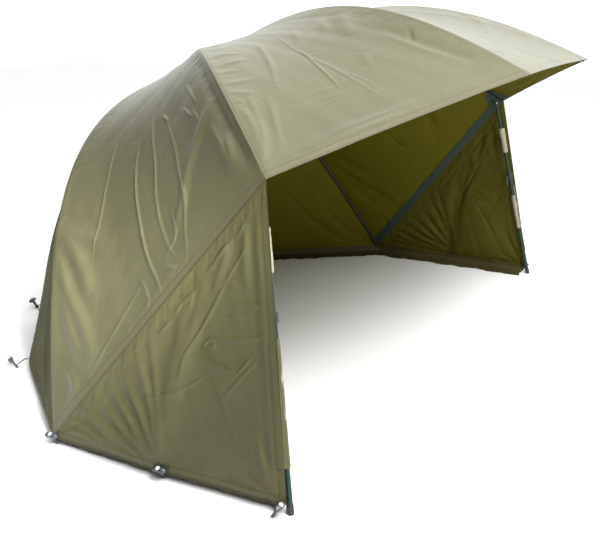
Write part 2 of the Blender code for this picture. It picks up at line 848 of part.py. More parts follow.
def make_gore(index, carrier):
    """The cloth on both sides of one rib, out to the middle lines of its two panels."""
    rib = RIBS[index]
    before = PANELS[index]
    after = PANELS[(index + 1) % len(RIBS)]
    start = rib.share_at(CENTRE_HOLE_RADIUS)
    rows = []
    for step in range(CLOTH_ROWS + 1):
        along = start + (1 - start) * step / CLOTH_ROWS
        width_before = (before.point(along, 1) - before.point(along, 0)).length
        width_after = (after.point(along, 1) - after.point(along, 0)).length
        first = 0.5 + GAP / 2 / width_before
        last = 0.5 - GAP / 2 / width_after
        row = []
        for column in range(CLOTH_HALF_COLUMNS):
            row.append(before.point(along, first + (1 - first) * column / CLOTH_HALF_COLUMNS))
        for column in range(CLOTH_HALF_COLUMNS + 1):
            row.append(after.point(along, last * column / CLOTH_HALF_COLUMNS))
        rows.append(row if rib.tip.x < 0 else row[::-1])
    cloth(f"{rib.name}_canopy_gore", rows, "canopy_cloth", carrier)


class Wing:
    """A storm wing's even surface, from the canopy's seam down to its hem and from the storm pole to the side rib."""

    def __init__(self, rib):
        self.out = Vector((1 if rib.tip.x > 0 else -1, 0, 0))
        self.panel = next(one for one in PANELS if one.joins("corner", "side") and rib in (one.first, one.second))
        self.forward_first = self.panel.first is rib
        self.seam = (self.panel.point(1, 1) - self.panel.point(1, 0)).normalized()
        start, foot, _, _ = pole_line(rib)
        self.front = foot.lerp(start, HEM_HEIGHT / start.z) + self.out * WING_POLE_CLEARANCE
        self.middle = self.out * WING_PEG_OUT + Vector((0, -WING_PEG_FORWARD, HEM_HEIGHT))
        self.back = self.out * SIDE_TIP_OUT + Vector((0, -WING_BACK_INSET, HEM_HEIGHT))

    def line(self, share):
        """The upper and the lower end of one line down the wing, at a share of its width from the pole."""
        across = WING_END_SHARE * share
        top = self.panel.point(1, across if self.forward_first else 1 - across)
        if share < 0.5:
            bottom = self.front.lerp(self.middle, 2 * share)
        else:
            bottom = self.middle.lerp(self.back, 2 * share - 1)
        down = bottom - top
        away = (down - self.seam * down.dot(self.seam)).normalized()
        return top + away * WING_SEAM_GAP, bottom

    def level(self, share, height):
        """The point at a height above the ground on one line down the wing."""
        top, bottom = self.line(share)
        return bottom.lerp(top, (height - bottom.z) / (top.z - bottom.z))

    def face(self, forward, height):
        """The point of the wing at a distance forward and a height."""
        return self.level(crossing(lambda share: self.level(share, height).y, -forward), height)


def make_wing(rib, carrier):
    """The storm wing under the seam between the corner rib and the side rib."""
    wing = Wing(rib)
    columns = []
    for column in range(WING_COLUMNS + 1):
        share = column / WING_COLUMNS
        top, bottom = wing.line(share)
        line = []
        for row in range(WING_ROWS + 1):
            drop = row / WING_ROWS
            pleat = math.sin(math.pi * WING_PLEATS * share) ** 2
            fade = drop * (1 - drop) * 4 * (1 - share) ** 2 * share * 6
            line.append(top.lerp(bottom, drop) + wing.out * WING_PLEAT_DEPTH * pleat * fade)
        columns.append(line)
    cloth(f"storm_wing_{rib.name.split('_')[1]}", columns, "wing_cloth", carrier)


def make_pole(rib, carrier):
    """A storm pole: a fork and pin at the top, two tubes that slide, their clamp with its lever, and a foot."""
    side = rib.name.split("_")[1]
    frame = pole_frame(rib)
    start, foot, down, _ = pole_line(rib)
    length = (foot - start).length - LUG_DROP
    swing = new_pivot(f"storm_pole_swing_{side}", frame, carrier)

    half = LUG_THICKNESS / 2 + HINGE_GAP
    width = 2 * (half + CHEEK_THICKNESS)
    edge = capsule(Vector((0, 0)), Vector((0, -POLE_PLUG_TOP - POLE_PLUG_LENGTH / 3)), POLE_FORK_RADIUS)
    eye = circle(Vector((0, 0)), POLE_PIN_RADIUS + GAP)
    fork = plate(f"storm_pole_top_{side}", [edge, eye], width)
    reach = POLE_FORK_RADIUS + OVERRUN
    mouth = block("mouth", Vector((-reach, -half, -LUG_RADIUS - 10 * GAP)), Vector((reach, half, reach)))
    plug_end = -POLE_PLUG_TOP - POLE_PLUG_LENGTH
    spigot = UPPER_TUBE_RADIUS - POLE_WALL - GAP
    profile = [
        (0, -POLE_PLUG_TOP),
        (POLE_PLUG_RADIUS * 0.8, -POLE_PLUG_TOP),
        (POLE_PLUG_RADIUS, -POLE_PLUG_TOP - HUB_CHAMFER),
        (POLE_PLUG_RADIUS, plug_end),
        (spigot, plug_end),
        (spigot, plug_end - POLE_SPIGOT_LENGTH),
        (0, plug_end - POLE_SPIGOT_LENGTH),
    ]
    fork = fuse(cut(fork, mouth), turned("plug", profile, TUBE_STEPS))
    placed(fork, frame, swing, "black_plastic")

    head = width / 2 + GAP
    profile = [
        (0, head + POLE_PIN_HEAD_THICKNESS),
        (POLE_PIN_HEAD_RADIUS, head + POLE_PIN_HEAD_THICKNESS),
        (POLE_PIN_HEAD_RADIUS, head),
        (POLE_PIN_RADIUS, head),
        (POLE_PIN_RADIUS, -head - POLE_PIN_HEAD_THICKNESS),
        (0, -head - POLE_PIN_HEAD_THICKNESS),
    ]
    pin = turned(f"storm_pole_pin_{side}", profile, TUBE_STEPS)
    pin.data.transform(Matrix.Rotation(math.pi / 2, 4, "X"))
    placed(pin, frame, swing, "bright_steel")

    top = plug_end - GAP
    wall = UPPER_TUBE_RADIUS - POLE_WALL
    end = -CLAMP_DROP - TUBE_OVERLAP
    profile = [(UPPER_TUBE_RADIUS, top), (UPPER_TUBE_RADIUS, end), (wall, end), (wall, top)]
    upper = turned(f"storm_pole_upper_tube_{side}", profile, TUBE_STEPS, closed=True)
    placed(upper, frame, swing, "pole_metal")

    slide = new_pivot(f"storm_pole_slide_{side}", frame @ Matrix.Translation((0, 0, -CLAMP_DROP)), swing)
    wall = LOWER_TUBE_RADIUS - POLE_WALL
    end = -length + FOOT_LENGTH
    profile = [(LOWER_TUBE_RADIUS, -CLAMP_DROP), (LOWER_TUBE_RADIUS, end), (wall, end), (wall, -CLAMP_DROP)]
    lower = turned(f"storm_pole_lower_tube_{side}", profile, TUBE_STEPS, closed=True)
    placed(lower, frame, slide, "pole_metal")

    profile = [
        (0, end + FOOT_SPIGOT_LENGTH),
        (wall - GAP, end + FOOT_SPIGOT_LENGTH),
        (wall - GAP, end - GAP),
        (LOWER_TUBE_RADIUS, end - GAP),
        (FOOT_RADIUS, end - FOOT_LENGTH / 3),
        (FOOT_RADIUS, -length - FOOT_LENGTH / 3),
        (0, -length - FOOT_LENGTH / 3),
    ]
    tip = turned(f"storm_pole_foot_{side}", profile, SMALL_STEPS)
    placed(tip, frame, slide, "black_plastic")
    trimmed(tip)

    make_clamp(side, frame @ Matrix.Translation((0, 0, -CLAMP_DROP)), slide)


def make_clamp(side, frame, carrier):
    """The collar on top of the lower tube and its cam lever."""
    bore = LOWER_TUBE_RADIUS + GAP
    neck = UPPER_TUBE_RADIUS + GAP
    profile = [
        ((CLAMP_RADIUS + neck) / 2, CLAMP_LIP),
        (CLAMP_RADIUS, CLAMP_LIP / 2),
        (CLAMP_RADIUS, CLAMP_LIP - CLAMP_HEIGHT),
        (bore, CLAMP_LIP - CLAMP_HEIGHT),
        (bore, GAP),
        (neck, GAP),
        (neck, CLAMP_LIP),
    ]
    collar = turned(f"storm_pole_clamp_{side}", profile, SMALL_STEPS, closed=True)
    centre = Vector((CLAMP_EAR_REACH, -CLAMP_EAR_DROP))
    middle = (CLAMP_RADIUS + bore) / 2
    edge = capsule(Vector((middle, -CLAMP_EAR_DROP)), centre, CLAMP_EAR_RADIUS)
    eye = circle(centre, LEVER_PIN_RADIUS + GAP)
    offset = LEVER_THICKNESS / 2 + GAP + CHEEK_THICKNESS / 2
    ears = []
    for way in (-1, 1):
        ear = plate("ear", [edge, eye], CHEEK_THICKNESS)
        ear.data.transform(Matrix.Translation((0, way * offset, 0)))
        ears.append(ear)
    # The ears run into the collar's wall, and the bore is cleared again for the tubes
    collar = fuse(collar, *ears)
    lower_bore = turned(
        "clamp_bore",
        [(0, GAP), (bore, GAP), (bore, -CLAMP_HEIGHT), (0, -CLAMP_HEIGHT)],
        SMALL_STEPS,
    )
    placed(cut(collar, lower_bore), frame, carrier, "black_plastic")

    pivot_frame = frame @ Matrix.Translation((CLAMP_EAR_REACH, 0, -CLAMP_EAR_DROP))
    hinge = new_pivot(f"clamp_lever_hinge_{side}", pivot_frame, carrier)
    blade = capsule(Vector((0, 0)), Vector((LEVER_TIP_RADIUS / 2, -LEVER_LENGTH)), LEVER_RADIUS, LEVER_TIP_RADIUS)
    lever = plate(f"storm_pole_lever_{side}", [blade], LEVER_THICKNESS)
    end = offset + CHEEK_THICKNESS / 2
    profile = [(0, end), (LEVER_PIN_RADIUS, end), (LEVER_PIN_RADIUS, -end), (0, -end)]
    pin = turned("lever_pin", profile, TUBE_STEPS)
    pin.data.transform(Matrix.Rotation(math.pi / 2, 4, "X"))
    placed(fuse(lever, pin), pivot_frame, hinge, "black_plastic")


def peg_web_outline():
    """The outline of a peg's neck and of the wedge under its bar, which runs on below the ground."""
    top = PEG_BAR_HALF_LENGTH * PEG_WEB_TOP_SHARE * 2
    neck = PEG_NECK_WIDTH / 2
    half = [
        Vector((neck, -PEG_SHANK_DEPTH)),
        Vector((neck, PEG_NECK_HEIGHT * 0.6)),
        Vector((neck * 1.15, PEG_NECK_HEIGHT)),
        Vector(((neck + top) / 2, (PEG_NECK_HEIGHT + PEG_BAR_HEIGHT) / 2 + PEG_BEVEL)),
        Vector((top, PEG_BAR_HEIGHT - PEG_BAR_RADIUS / 2)),
        Vector((top, PEG_BAR_HEIGHT)),
    ]
    return half + [Vector((-point.x, point.y)) for point in half[::-1]]


def peg_bar_outline():
    ends = Vector((-PEG_BAR_HALF_LENGTH, PEG_BAR_HEIGHT)), Vector((PEG_BAR_HALF_LENGTH, PEG_BAR_HEIGHT))
    return capsule(*ends, PEG_BAR_RADIUS)


def make_peg_mesh():
    """A T-headed ground peg down to the ground, and the hook on its side that holds a loop or a cord.

    Its frame's origin is where it enters the ground, Z is up its neck, X along its bar and Y towards the cloth.
    """
    web = plate("peg", [peg_web_outline()], PEG_WEB_THICKNESS)
    bar = plate("peg_bar", [peg_bar_outline()], PEG_BAR_THICKNESS)
    bevel = bar.modifiers.new("round", "BEVEL")
    bevel.width = PEG_BEVEL
    bevel.segments = 1
    bevel.limit_method = "ANGLE"
    bar = baked(bar)
    hook = []
    for step in range(4):
        turn = math.pi / 2 * step / 3
        drop = PEG_HOOK_DROP * (1 - math.cos(turn))
        hook.append(Vector((PEG_HOOK_REACH * math.sin(turn), 0, PEG_HOOK_HEIGHT - drop)))
    return fuse(web, bar, rod("peg_hook", hook, PEG_HOOK_RADIUS, 1))


def peg_frame(way, place, away):
    """A peg at a place on the ground that leans in a direction, turned so that both sides' pegs are mirrored."""
    away = away.normalized()
    lean = math.radians(PEG_LEAN_DEG)
    up = away * math.sin(lean) + Vector((0, 0, math.cos(lean)))
    bar = away.cross(Vector((0, 0, 1))) * way
    return frame_of(place, bar, up.cross(bar), up)


def against_hem(hem, away):
    """Where a leaning peg enters the ground, so that its web just clears the cloth at the hem."""
    lean = math.radians(PEG_LEAN_DEG)
    clear = CLOTH_THICKNESS / 2 + GAP + PEG_WEB_THICKNESS / 2 / math.cos(lean)
    place = hem + away.normalized() * (clear - hem.z * math.tan(lean))
    place.z = 0
    return place


def above_hem(start, end):
    """Points along a straight edge, from where it rises past the hem's height."""
    points = [start.lerp(end, step / PEG_SAMPLES) for step in range(PEG_SAMPLES + 1)]
    if (start.z - HEM_HEIGHT) * (end.z - HEM_HEIGHT) < 0:
        points.append(start.lerp(end, (HEM_HEIGHT - start.z) / (end.z - start.z)))
    return [point for point in points if point.z >= HEM_HEIGHT - GAP]


def beside_wing(way, rib, forward, away):
    """The frame of a peg that leans in a direction, moved out until it stands a gap off the storm wing."""
    wing = Wing(rib)
    frame = peg_frame(way, Vector((0, -forward, 0)), away)
    reach = 0
    for outline, thickness in ((peg_web_outline(), PEG_WEB_THICKNESS), (peg_bar_outline(), PEG_BAR_THICKNESS)):
        for face in (-1, 1):
            edge = [frame @ Vector((spot.x, face * thickness / 2, spot.y)) for spot in outline]
            for start, end in zip(edge, edge[1:] + edge[:1]):
                for place in above_hem(start, end):
                    reach = max(reach, (wing.face(-place.y, place.z) - place).dot(wing.out))
    return Matrix.Translation(wing.out * (reach + CLOTH_THICKNESS / 2 + GAP)) @ frame


def peg_frames(way, ribs):
    """Each peg's name, its frame and the rib that moves with its piece of cloth, on one side."""
    out = Vector((way, 0, 0))
    side_hem = ribs["side"].over(1)
    side_hem.z = HEM_HEIGHT
    corner = ribs["corner"]
    skirt = Vector((way * SKIRT_PEG_OUT, SKIRT_PEG_BACK, 0))
    rear = Vector((way * REAR_PEG_OUT, REAR_PEG_BACK, 0))
    return {
        "side_peg": (peg_frame(way, against_hem(side_hem, out), out), "side"),
        "wing_peg": (beside_wing(way, corner, WING_PEG_FORWARD, out), "corner"),
        "pole_peg": (beside_wing(way, corner, POLE_PEG_FORWARD, Vector((0, -1, 0))), "corner"),
        "skirt_peg": (peg_frame(way, skirt, skirt), "rear"),
        "rear_peg": (peg_frame(way, rear, rear), "rear"),
    }


def make_cord(name, cloth_at, away, peg, carrier):
    """A cord that leaves the cloth square to it, a little above the hem, and ends against the neck of its peg."""
    hem = cloth_at(1)
    up = cloth_at(1 - 1 / CLOTH_ROWS) - hem
    outward = (away - up * away.dot(up) / up.dot(up)).normalized()
    start = hem + up * CORD_HEM_SHARE + outward * (CLOTH_THICKNESS / 2 + GAP)
    lead = start + outward * CORD_LEAD
    neck = peg @ Vector((0, 0, PEG_CORD_HEIGHT))
    facing = -peg.to_3x3().col[1] * math.copysign(1, hem.x)
    end = neck + facing * (PEG_WEB_THICKNESS / 2 + GAP)
    slack = end + facing * CORD_LEAD
    points = [start] + [lead.lerp(slack, step / CORD_STEPS) for step in range(CORD_STEPS + 1)] + [end]
    placed(rod(name, points, CORD_RADIUS), Matrix.Identity(4), carrier, "cord")


def make_pegs_and_cords(mesh, pivots):
    for side, way in SIDES.items():
        ribs = {rib.name.split("_")[0]: rib for rib in RIBS if rib.name.endswith(side)}
        frames = peg_frames(way, ribs)
        for name, (frame, kind) in frames.items():
            peg = new_object(f"{name}_{side}", mesh.copy())
            placed(peg, frame, pivots[f"{kind}_{side}"], "peg_plastic")
            trimmed(peg)
        carrier = pivots[f"rear_{side}"]
        panel = next(one for one in PANELS if one.joins("side", "rear") and ribs["side"] in (one.first, one.second))
        rear_end = 1 if panel.second is ribs["rear"] else 0
        ends = {"skirt": (0.5, panel.facing()), "rear": (rear_end, ribs["rear"].outward(1))}
        for name, (across, away) in ends.items():
            peg = frames[f"{name}_peg"][0]
            make_cord(f"{name}_cord_{side}", lambda along: panel.point(along, across), away, peg, carrier)


def stand_on_origin(root):
    """Moves the whole umbrella so that the middle of its base is the origin."""
    bpy.context.view_layer.update()
    graph = bpy.context.evaluated_depsgraph_get()
    corners = []
    for obj in bpy.data.collections["umbrella"].objects:
        if obj.type == "MESH":
            seen = obj.evaluated_get(graph)
            corners += [seen.matrix_world @ vertex.co for vertex in seen.data.vertices]
    for i in (0, 1):
        values = [corner[i] for corner in corners]
        root.location[i] -= (min(values) + max(values)) / 2


def main():
    clear_scene()
    new_collection("umbrella")
    new_collection("cutters")
    root = new_object("umbrella_root", None)
    make_hub(root)
    make_crown_cap(root)
    make_shaft(root)
    make_runner(root)
    link = make_link_mesh()
    pivots = {}
    for index, rib in enumerate(RIBS):
        pivot = make_rib(rib, root)
        pivots[rib.name] = pivot
        frame = link_frame(rib)
        hinge = new_pivot(f"{rib.name}_link_pivot", frame, pivot)
        placed(new_object(f"{rib.name}_link", link.data.copy()), frame, hinge, "rib_metal")
        make_gore(index, pivot)
        if rib.name.startswith("corner"):
            make_wing(rib, pivot)
            make_pole(rib, pivot)
    bpy.data.objects.remove(link, do_unlink=True)
    peg = make_peg_mesh()
    make_pegs_and_cords(peg.data, pivots)
    bpy.data.objects.remove(peg, do_unlink=True)
    for cutter in list(bpy.data.collections["cutters"].objects):
        bpy.data.objects.remove(cutter, do_unlink=True)
    stand_on_origin(root)


main()
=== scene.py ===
"""Looks of the oval fishing umbrella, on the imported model's frame.

Lengths are in metres. +X is to the right, -Y is the open front and +Z is up.
"""

import math

import bpy
import numpy as np
from mathutils import Matrix, Vector


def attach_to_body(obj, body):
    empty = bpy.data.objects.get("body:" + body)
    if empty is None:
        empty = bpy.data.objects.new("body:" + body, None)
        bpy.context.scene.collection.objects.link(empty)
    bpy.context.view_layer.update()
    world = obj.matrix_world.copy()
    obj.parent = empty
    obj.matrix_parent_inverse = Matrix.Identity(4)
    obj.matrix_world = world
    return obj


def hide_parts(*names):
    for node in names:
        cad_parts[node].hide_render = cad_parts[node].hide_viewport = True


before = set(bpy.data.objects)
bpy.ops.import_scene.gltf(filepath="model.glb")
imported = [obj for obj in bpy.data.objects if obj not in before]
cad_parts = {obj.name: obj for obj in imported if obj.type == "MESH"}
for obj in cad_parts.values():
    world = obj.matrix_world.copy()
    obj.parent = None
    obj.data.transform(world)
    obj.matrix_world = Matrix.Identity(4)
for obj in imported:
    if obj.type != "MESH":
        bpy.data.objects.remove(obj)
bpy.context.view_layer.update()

# Sizes that part.py works with. The pack moves its middle along Y.
SHIFT_Y = 0.08176
LEAN = math.radians(28.3)
AXIS = np.array((0.0, math.sin(LEAN), math.cos(LEAN)))
HUB = np.array((0.0, 0.2576 + SHIFT_Y, 1.045))
HEM = 0.030
RIDGE = 0.010626
SIDES = {"left": -1, "right": 1}
TIPS = {
    "front": (0.428, 1.186, 1.107),
    "corner": (1.104, 0.687, 0.868),
    "side": (1.251, 0.0, HEM),
    "rear": (0.432, -0.862, HEM),
}
SKIRT = (0.868, 0.509)
ROOT_REACH_SHARE, ROOT_RISE_SHARE = 0.549, 0.051
TIP_REACH_SHARE, TIP_DROP_SHARE = 0.746, 0.296
SAG_SHARE = 0.055
FRONT_SCALLOP = 0.004
SKIRT_PULL_POWER = 3.0
LOW_SHARE = 0.06
POLE_FOOT = (1.246, 0.832)
POLE_INSET = 0.045
WING_PEG = (1.268, 0.417)
WING_BACK = (1.2612, -0.003)
WING_END = 0.998
WING_OFF_POLE = 0.0135
CLOTH = 0.0008
TUCK = 0.0011
DOWN = np.array((0.0, 0.0, -1.0))


def unit(v):
    return v / np.linalg.norm(v, axis=-1, keepdims=True)


def bell(x, width):
    return np.exp(-((x / width) ** 2))


def step(x, start, end):
    """A smooth rise from 0 at the start to 1 at the end."""
    t = np.clip((x - start) / (end - start), 0, 1)
    return t * t * (3 - 2 * t)


def ripple(x, seed):
    """Smooth, unrepeating waves along one direction, between about -1 and 1."""
    a = 1.7 * seed + 0.3
    return (
        np.sin(x + a) + 0.6 * np.sin(2.31 * x + 2.1 * a) + 0.45 * np.sin(4.17 * x + 3.7 * a)
        + 0.3 * np.sin(7.9 * x + 5.3 * a)
    ) / 1.9


class Rib:
    """One rib: a bend in the plane of the umbrella's axis and the rib's own tip."""

    def __init__(self, kind, side):
        out, forward, height = TIPS[kind]
        self.kind = kind
        self.rank = list(TIPS).index(kind)
        self.side = side
        self.name = f"{kind}_{side}"
        self.body = f"rib_{kind}_{side}"
        self.tip = np.array((SIDES[side] * out, -forward + SHIFT_Y, height))
        self.grounded = height == HEM
        arm = self.tip - HUB
        self.rise = float(arm @ AXIS)
        flat = arm - AXIS * self.rise
        self.reach = float(np.linalg.norm(flat))
        self.out = flat / self.reach
        self.bend = np.array((
            (0, 0),
            (ROOT_REACH_SHARE * self.reach, -ROOT_RISE_SHARE * self.rise),
            (TIP_REACH_SHARE * self.reach, TIP_DROP_SHARE * self.rise),
            (self.reach, self.rise),
        ))

    def profile(self, t):
        a, b, c, d = self.bend
        t = np.asarray(t, float)[..., None]
        r = 1 - t
        return a * r**3 + b * 3 * r**2 * t + c * 3 * r * t**2 + d * t**3

    def heading(self, t):
        """The rib's direction, out and up, in its own plane."""
        a, b, c, d = self.bend
        t = np.asarray(t, float)[..., None]
        r = 1 - t
        return unit((b - a) * r**2 + (c - b) * 2 * r * t + (d - c) * t**2)

    def point(self, t):
        p = self.profile(t)
        return HUB + p[..., :1] * self.out + p[..., 1:] * AXIS

    def outward(self, t):
        p = self.heading(t)
        return p[..., :1] * AXIS - p[..., 1:] * self.out

    def over(self, t):
        """The ridge of the cloth over the rib."""
        return self.point(t) + self.outward(t) * RIDGE

    def share_before_tip(self, inset):
        """Where along the rib a point lies at the inset from its tip."""
        low, high = 0.0, 1.0
        for _ in range(50):
            middle = (low + high) / 2
            if np.linalg.norm(self.tip - self.point(middle)) > inset:
                low = middle
            else:
                high = middle
        return low


RIBS = [Rib(kind, "left") for kind in TIPS] + [Rib(kind, "right") for kind in list(TIPS)[::-1]]
BY_NAME = {rib.name: rib for rib in RIBS}


class Panel:
    """The cloth between two ribs, as part.py has it. t runs out along them and s across from the first."""

    def __init__(self, first, second):
        self.first = first
        self.second = second
        self.name = f"{first.name}-{second.name}"
        self.grounded = first.grounded and second.grounded
        self.scallop = FRONT_SCALLOP if not first.grounded and not second.grounded else 0.0
        self.pull = np.zeros(3)
        if self.grounded and first.tip[0] * second.tip[0] > 0:
            side = 1 if first.tip[0] > 0 else -1
            corner = np.array((side * SKIRT[0], SKIRT[1] + SHIFT_Y, 0.0))
            self.pull = corner - (first.over(1.0) + second.over(1.0)) / 2
            self.pull[2] = 0

    def width(self, t):
        return np.linalg.norm(self.base(t, 1.0) - self.base(t, 0.0), axis=-1)

    def base(self, t, s):
        t, s = np.broadcast_arrays(np.asarray(t, float), np.asarray(s, float))
        arch = 4 * s * (1 - s)
        share = t * (1 - self.scallop * arch)
        start = self.first.over(share)
        end = self.second.over(share)
        low = np.clip((t - (1 - LOW_SHARE)) / LOW_SHARE, 0, 1) ** 2
        for rib, hem in ((self.first, start), (self.second, end)):
            if rib.grounded:
                hem[..., 2] = hem[..., 2] * (1 - low) + (HEM + rib.point(share)[..., 2] - rib.tip[2]) * low
        chord = end - start
        inward = -unit(self.first.outward(share) + self.second.outward(share))
        length = np.linalg.norm(chord, axis=-1, keepdims=True)
        sag = SAG_SHARE * length * (arch * np.sin(np.pi * t))[..., None]
        tent = np.clip(1 - np.sqrt((2 * s - 1) ** 2 + 0.004), 0, 1)
        place = start + chord * s[..., None] + inward * sag
        place = place + self.pull * (tent * t**SKIRT_PULL_POWER)[..., None]
        if self.grounded:
            place[..., 2] = place[..., 2] * (1 - low) + np.maximum(place[..., 2], HEM) * low
            place[..., 2] = np.where(t >= 0.9999, HEM, place[..., 2])
        return place

    def normal(self, t, s):
        """Square to the cloth, away from the shelter."""
        t, s = np.broadcast_arrays(np.asarray(t, float), np.asarray(s, float))
        e = 0.002
        t0, t1 = np.clip(t - e, 0, 1), np.clip(t + e, 0, 1)
        s0, s1 = np.clip(s - e, 0, 1), np.clip(s + e, 0, 1)
        n = unit(np.cross(self.base(t1, s) - self.base(t0, s), self.base(t, s1) - self.base(t, s0)))
        away = self.first.outward(t) + self.second.outward(t)
        return n * np.sign(np.sum(n * away, -1, keepdims=True))


PANELS = [Panel(RIBS[i - 1], RIBS[i]) for i in range(len(RIBS))]
PANEL = {panel.name: panel for panel in PANELS}

# Camera, floor and light
AZIMUTH, PITCH, ROLL = math.radians(-61.433), math.radians(16.704), math.radians(-0.135)
EYE = Vector((-3.019, -1.828 + SHIFT_Y, 1.305))
PHOTO_WIDTH = 600
FOCAL_PIXELS = 863.05
SENSOR = 36
FLOOR_HALF = 14.0
# The white room's two lobes: their direction, the ramp of their strength and that strength
LOW_BEHIND = ((-0.78, 0.60, -0.18), [(0.0, 1.0), (0.50, 0.06)], 1.1)
HIGH_RIGHT = ((0.86, 0.22, 0.46), [(0.55, 0.0), (0.98, 1.0)], 0.9)
# Each lamp's place, target, side, power and spread in degrees
LAMPS = {
    "key": ((-1.2, -2.6, 3.6), (-0.8, -0.7, 1.0), 2.4, 215, 180),
    "left": ((-3.6, -3.0, 4.6), (-1.0, 0.0, 0.5), 1.2, 85, 180),
    "low_left": ((-2.2, -1.6, 1.6), (-1.12, 0.20, 0.46), 0.3, 4.5, 29),
}


def add_object(name, data):
    made = bpy.data.objects.new(name, data)
    bpy.context.scene.collection.objects.link(made)
    return made


def make_camera():
    heading = Vector((
        -math.sin(AZIMUTH) * math.cos(PITCH), math.cos(AZIMUTH) * math.cos(PITCH), -math.sin(PITCH)
    ))
    right = Vector((math.cos(AZIMUTH), math.sin(AZIMUTH), 0))
    up = right.cross(heading)
    level = right * math.cos(ROLL) + up * math.sin(ROLL)
    upright = -right * math.sin(ROLL) + up * math.cos(ROLL)
    data = bpy.data.cameras.new("camera")
    data.sensor_width = SENSOR
    data.lens = FOCAL_PIXELS / PHOTO_WIDTH * SENSOR
    data.clip_start = 0.05
    data.clip_end = 100
    camera = add_object("camera", data)
    turn = Matrix((level, upright, -heading)).transposed().to_4x4()
    camera.matrix_world = Matrix.Translation(EYE) @ turn
    bpy.context.scene.camera = camera


def make_floor():
    mesh = bpy.data.meshes.new("floor")
    h = FLOOR_HALF
    mesh.from_pydata([(-h, -h, 0), (h, -h, 0), (h, h, 0), (-h, h, 0)], [], [(0, 1, 2, 3)])
    floor = add_object("floor", mesh)
    material, shader, net = new_material("floor_paint")
    net.fill(shader, {"Base Color": (0.95, 0.95, 0.95, 1), "Roughness": 0.9})
    mesh.materials.append(material)


def make_room():
    """A white room, darker low down behind the left side and brighter high on the right."""
    world = bpy.data.worlds.new("studio")
    world.use_nodes = True
    net = Net(world.node_tree)
    way = net.node("ShaderNodeTexCoord").outputs["Generated"]
    lobes = []
    for centre, stops, power in (LOW_BEHIND, HIGH_RIGHT):
        toward = net.node("ShaderNodeVectorMath", operation="DOT_PRODUCT")
        net.put(toward.inputs[0], way)
        net.put(toward.inputs[1], centre)
        lobes.append(net.times(net.grey(toward.outputs["Value"], stops), power))
    background = world.node_tree.nodes["Background"]
    net.fill(background, {"Strength": net.math("ADD", *lobes), "Color": (0.985, 1.0, 1.0, 1)})
    bpy.context.scene.world = world
    bpy.context.scene.view_settings.view_transform = "Standard"


def make_lamps():
    for name, (place, target, size, power, spread) in LAMPS.items():
        data = bpy.data.lights.new(name, "AREA")
        data.shape = "RECTANGLE"
        data.size = data.size_y = size
        data.energy = power
        data.spread = math.radians(spread)
        way = Vector(target) - Vector(place)
        turn = way.to_track_quat("-Z", "Y").to_matrix().to_4x4()
        add_object(name, data).matrix_world = Matrix.Translation(place) @ turn


# Materials
def new_material(name):
    """A material, its shader and the calls that make its nodes."""
    material = bpy.data.materials.new(name)
    material.use_nodes = True
    tree = material.node_tree
    return material, tree.nodes["Principled BSDF"], Net(tree)


class Net:
    """Short calls to make and join nodes."""

    def __init__(self, tree):
        self.tree = tree

    def node(self, kind, **values):
        made = self.tree.nodes.new(kind)
        for key, value in values.items():
            setattr(made, key, value)
        return made

    def join(self, source, target):
        self.tree.links.new(source, target)

    def put(self, socket, value):
        if isinstance(value, bpy.types.NodeSocket):
            self.join(value, socket)
        else:
            socket.default_value = value

    def fill(self, node, values):
        """Join each named input of a node to a socket, or set it."""
        for name, value in values.items():
            self.put(node.inputs[name], value)

    def map(self):
        return self.node("ShaderNodeUVMap", uv_map="cloth").outputs["UV"]

    def place(self):
        return self.node("ShaderNodeTexCoord").outputs["Object"]

    def math(self, operation, *values, clamp=False):
        made = self.node("ShaderNodeMath", operation=operation, use_clamp=clamp)
        for socket, value in zip(made.inputs, values):
            self.put(socket, value)
        return made.outputs[0]

    def times(self, a, b):
        return self.math("MULTIPLY", a, b)

    def between(self, value, low, reach):
        """A value from 0 to 1, spread over a range that starts at low."""
        return self.math("ADD", low, self.times(value, reach))

    def noise(self, vector, scale, detail=2.0, roughness=0.5, distortion=0.0):
        made = self.node("ShaderNodeTexNoise")
        self.fill(made, {
            "Vector": vector, "Scale": scale, "Detail": detail, "Roughness": roughness,
            "Distortion": distortion,
        })
        return made.outputs["Fac"]

    def wave(self, vector, direction, distortion=0.0):
        made = self.node("ShaderNodeTexWave", wave_type="BANDS", bands_direction=direction)
        self.fill(made, {"Vector": vector, "Scale": 1.0, "Distortion": distortion})
        return made.outputs["Fac"]

    def scaled(self, vector, scale, turn=0.0):
        made = self.node("ShaderNodeMapping")
        self.fill(made, {"Vector": vector, "Rotation": (0, 0, turn), "Scale": scale})
        return made.outputs["Vector"]

    def ramp(self, value, stops):
        made = self.node("ShaderNodeValToRGB")
        self.put(made.inputs["Fac"], value)
        elements = made.color_ramp.elements
        while len(elements) < len(stops):
            elements.new(1)
        for element, (place, colour) in zip(elements, stops):
            element.position = place
            element.color = (*colour, 1)
        return made.outputs["Color"]

    def grey(self, value, stops):
        return self.ramp(value, [(place, (v, v, v)) for place, v in stops])

    def mix(self, factor, a, b):
        made = self.node("ShaderNodeMix", data_type="RGBA")
        self.put(made.inputs["Factor"], factor)
        self.put(made.inputs[6], a if isinstance(a, bpy.types.NodeSocket) else (*a, 1))
        self.put(made.inputs[7], b if isinstance(b, bpy.types.NodeSocket) else (*b, 1))
        return made.outputs[2]

    def bump(self, height, strength, distance, normal=None):
        made = self.node("ShaderNodeBump")
        self.fill(made, {"Strength": strength, "Distance": distance, "Height": height})
        if normal is not None:
            self.join(normal, made.inputs["Normal"])
        return made.outputs["Normal"]


STITCH_ROW_WIDTH = 0.0018
STITCH_PITCH = 0.0045


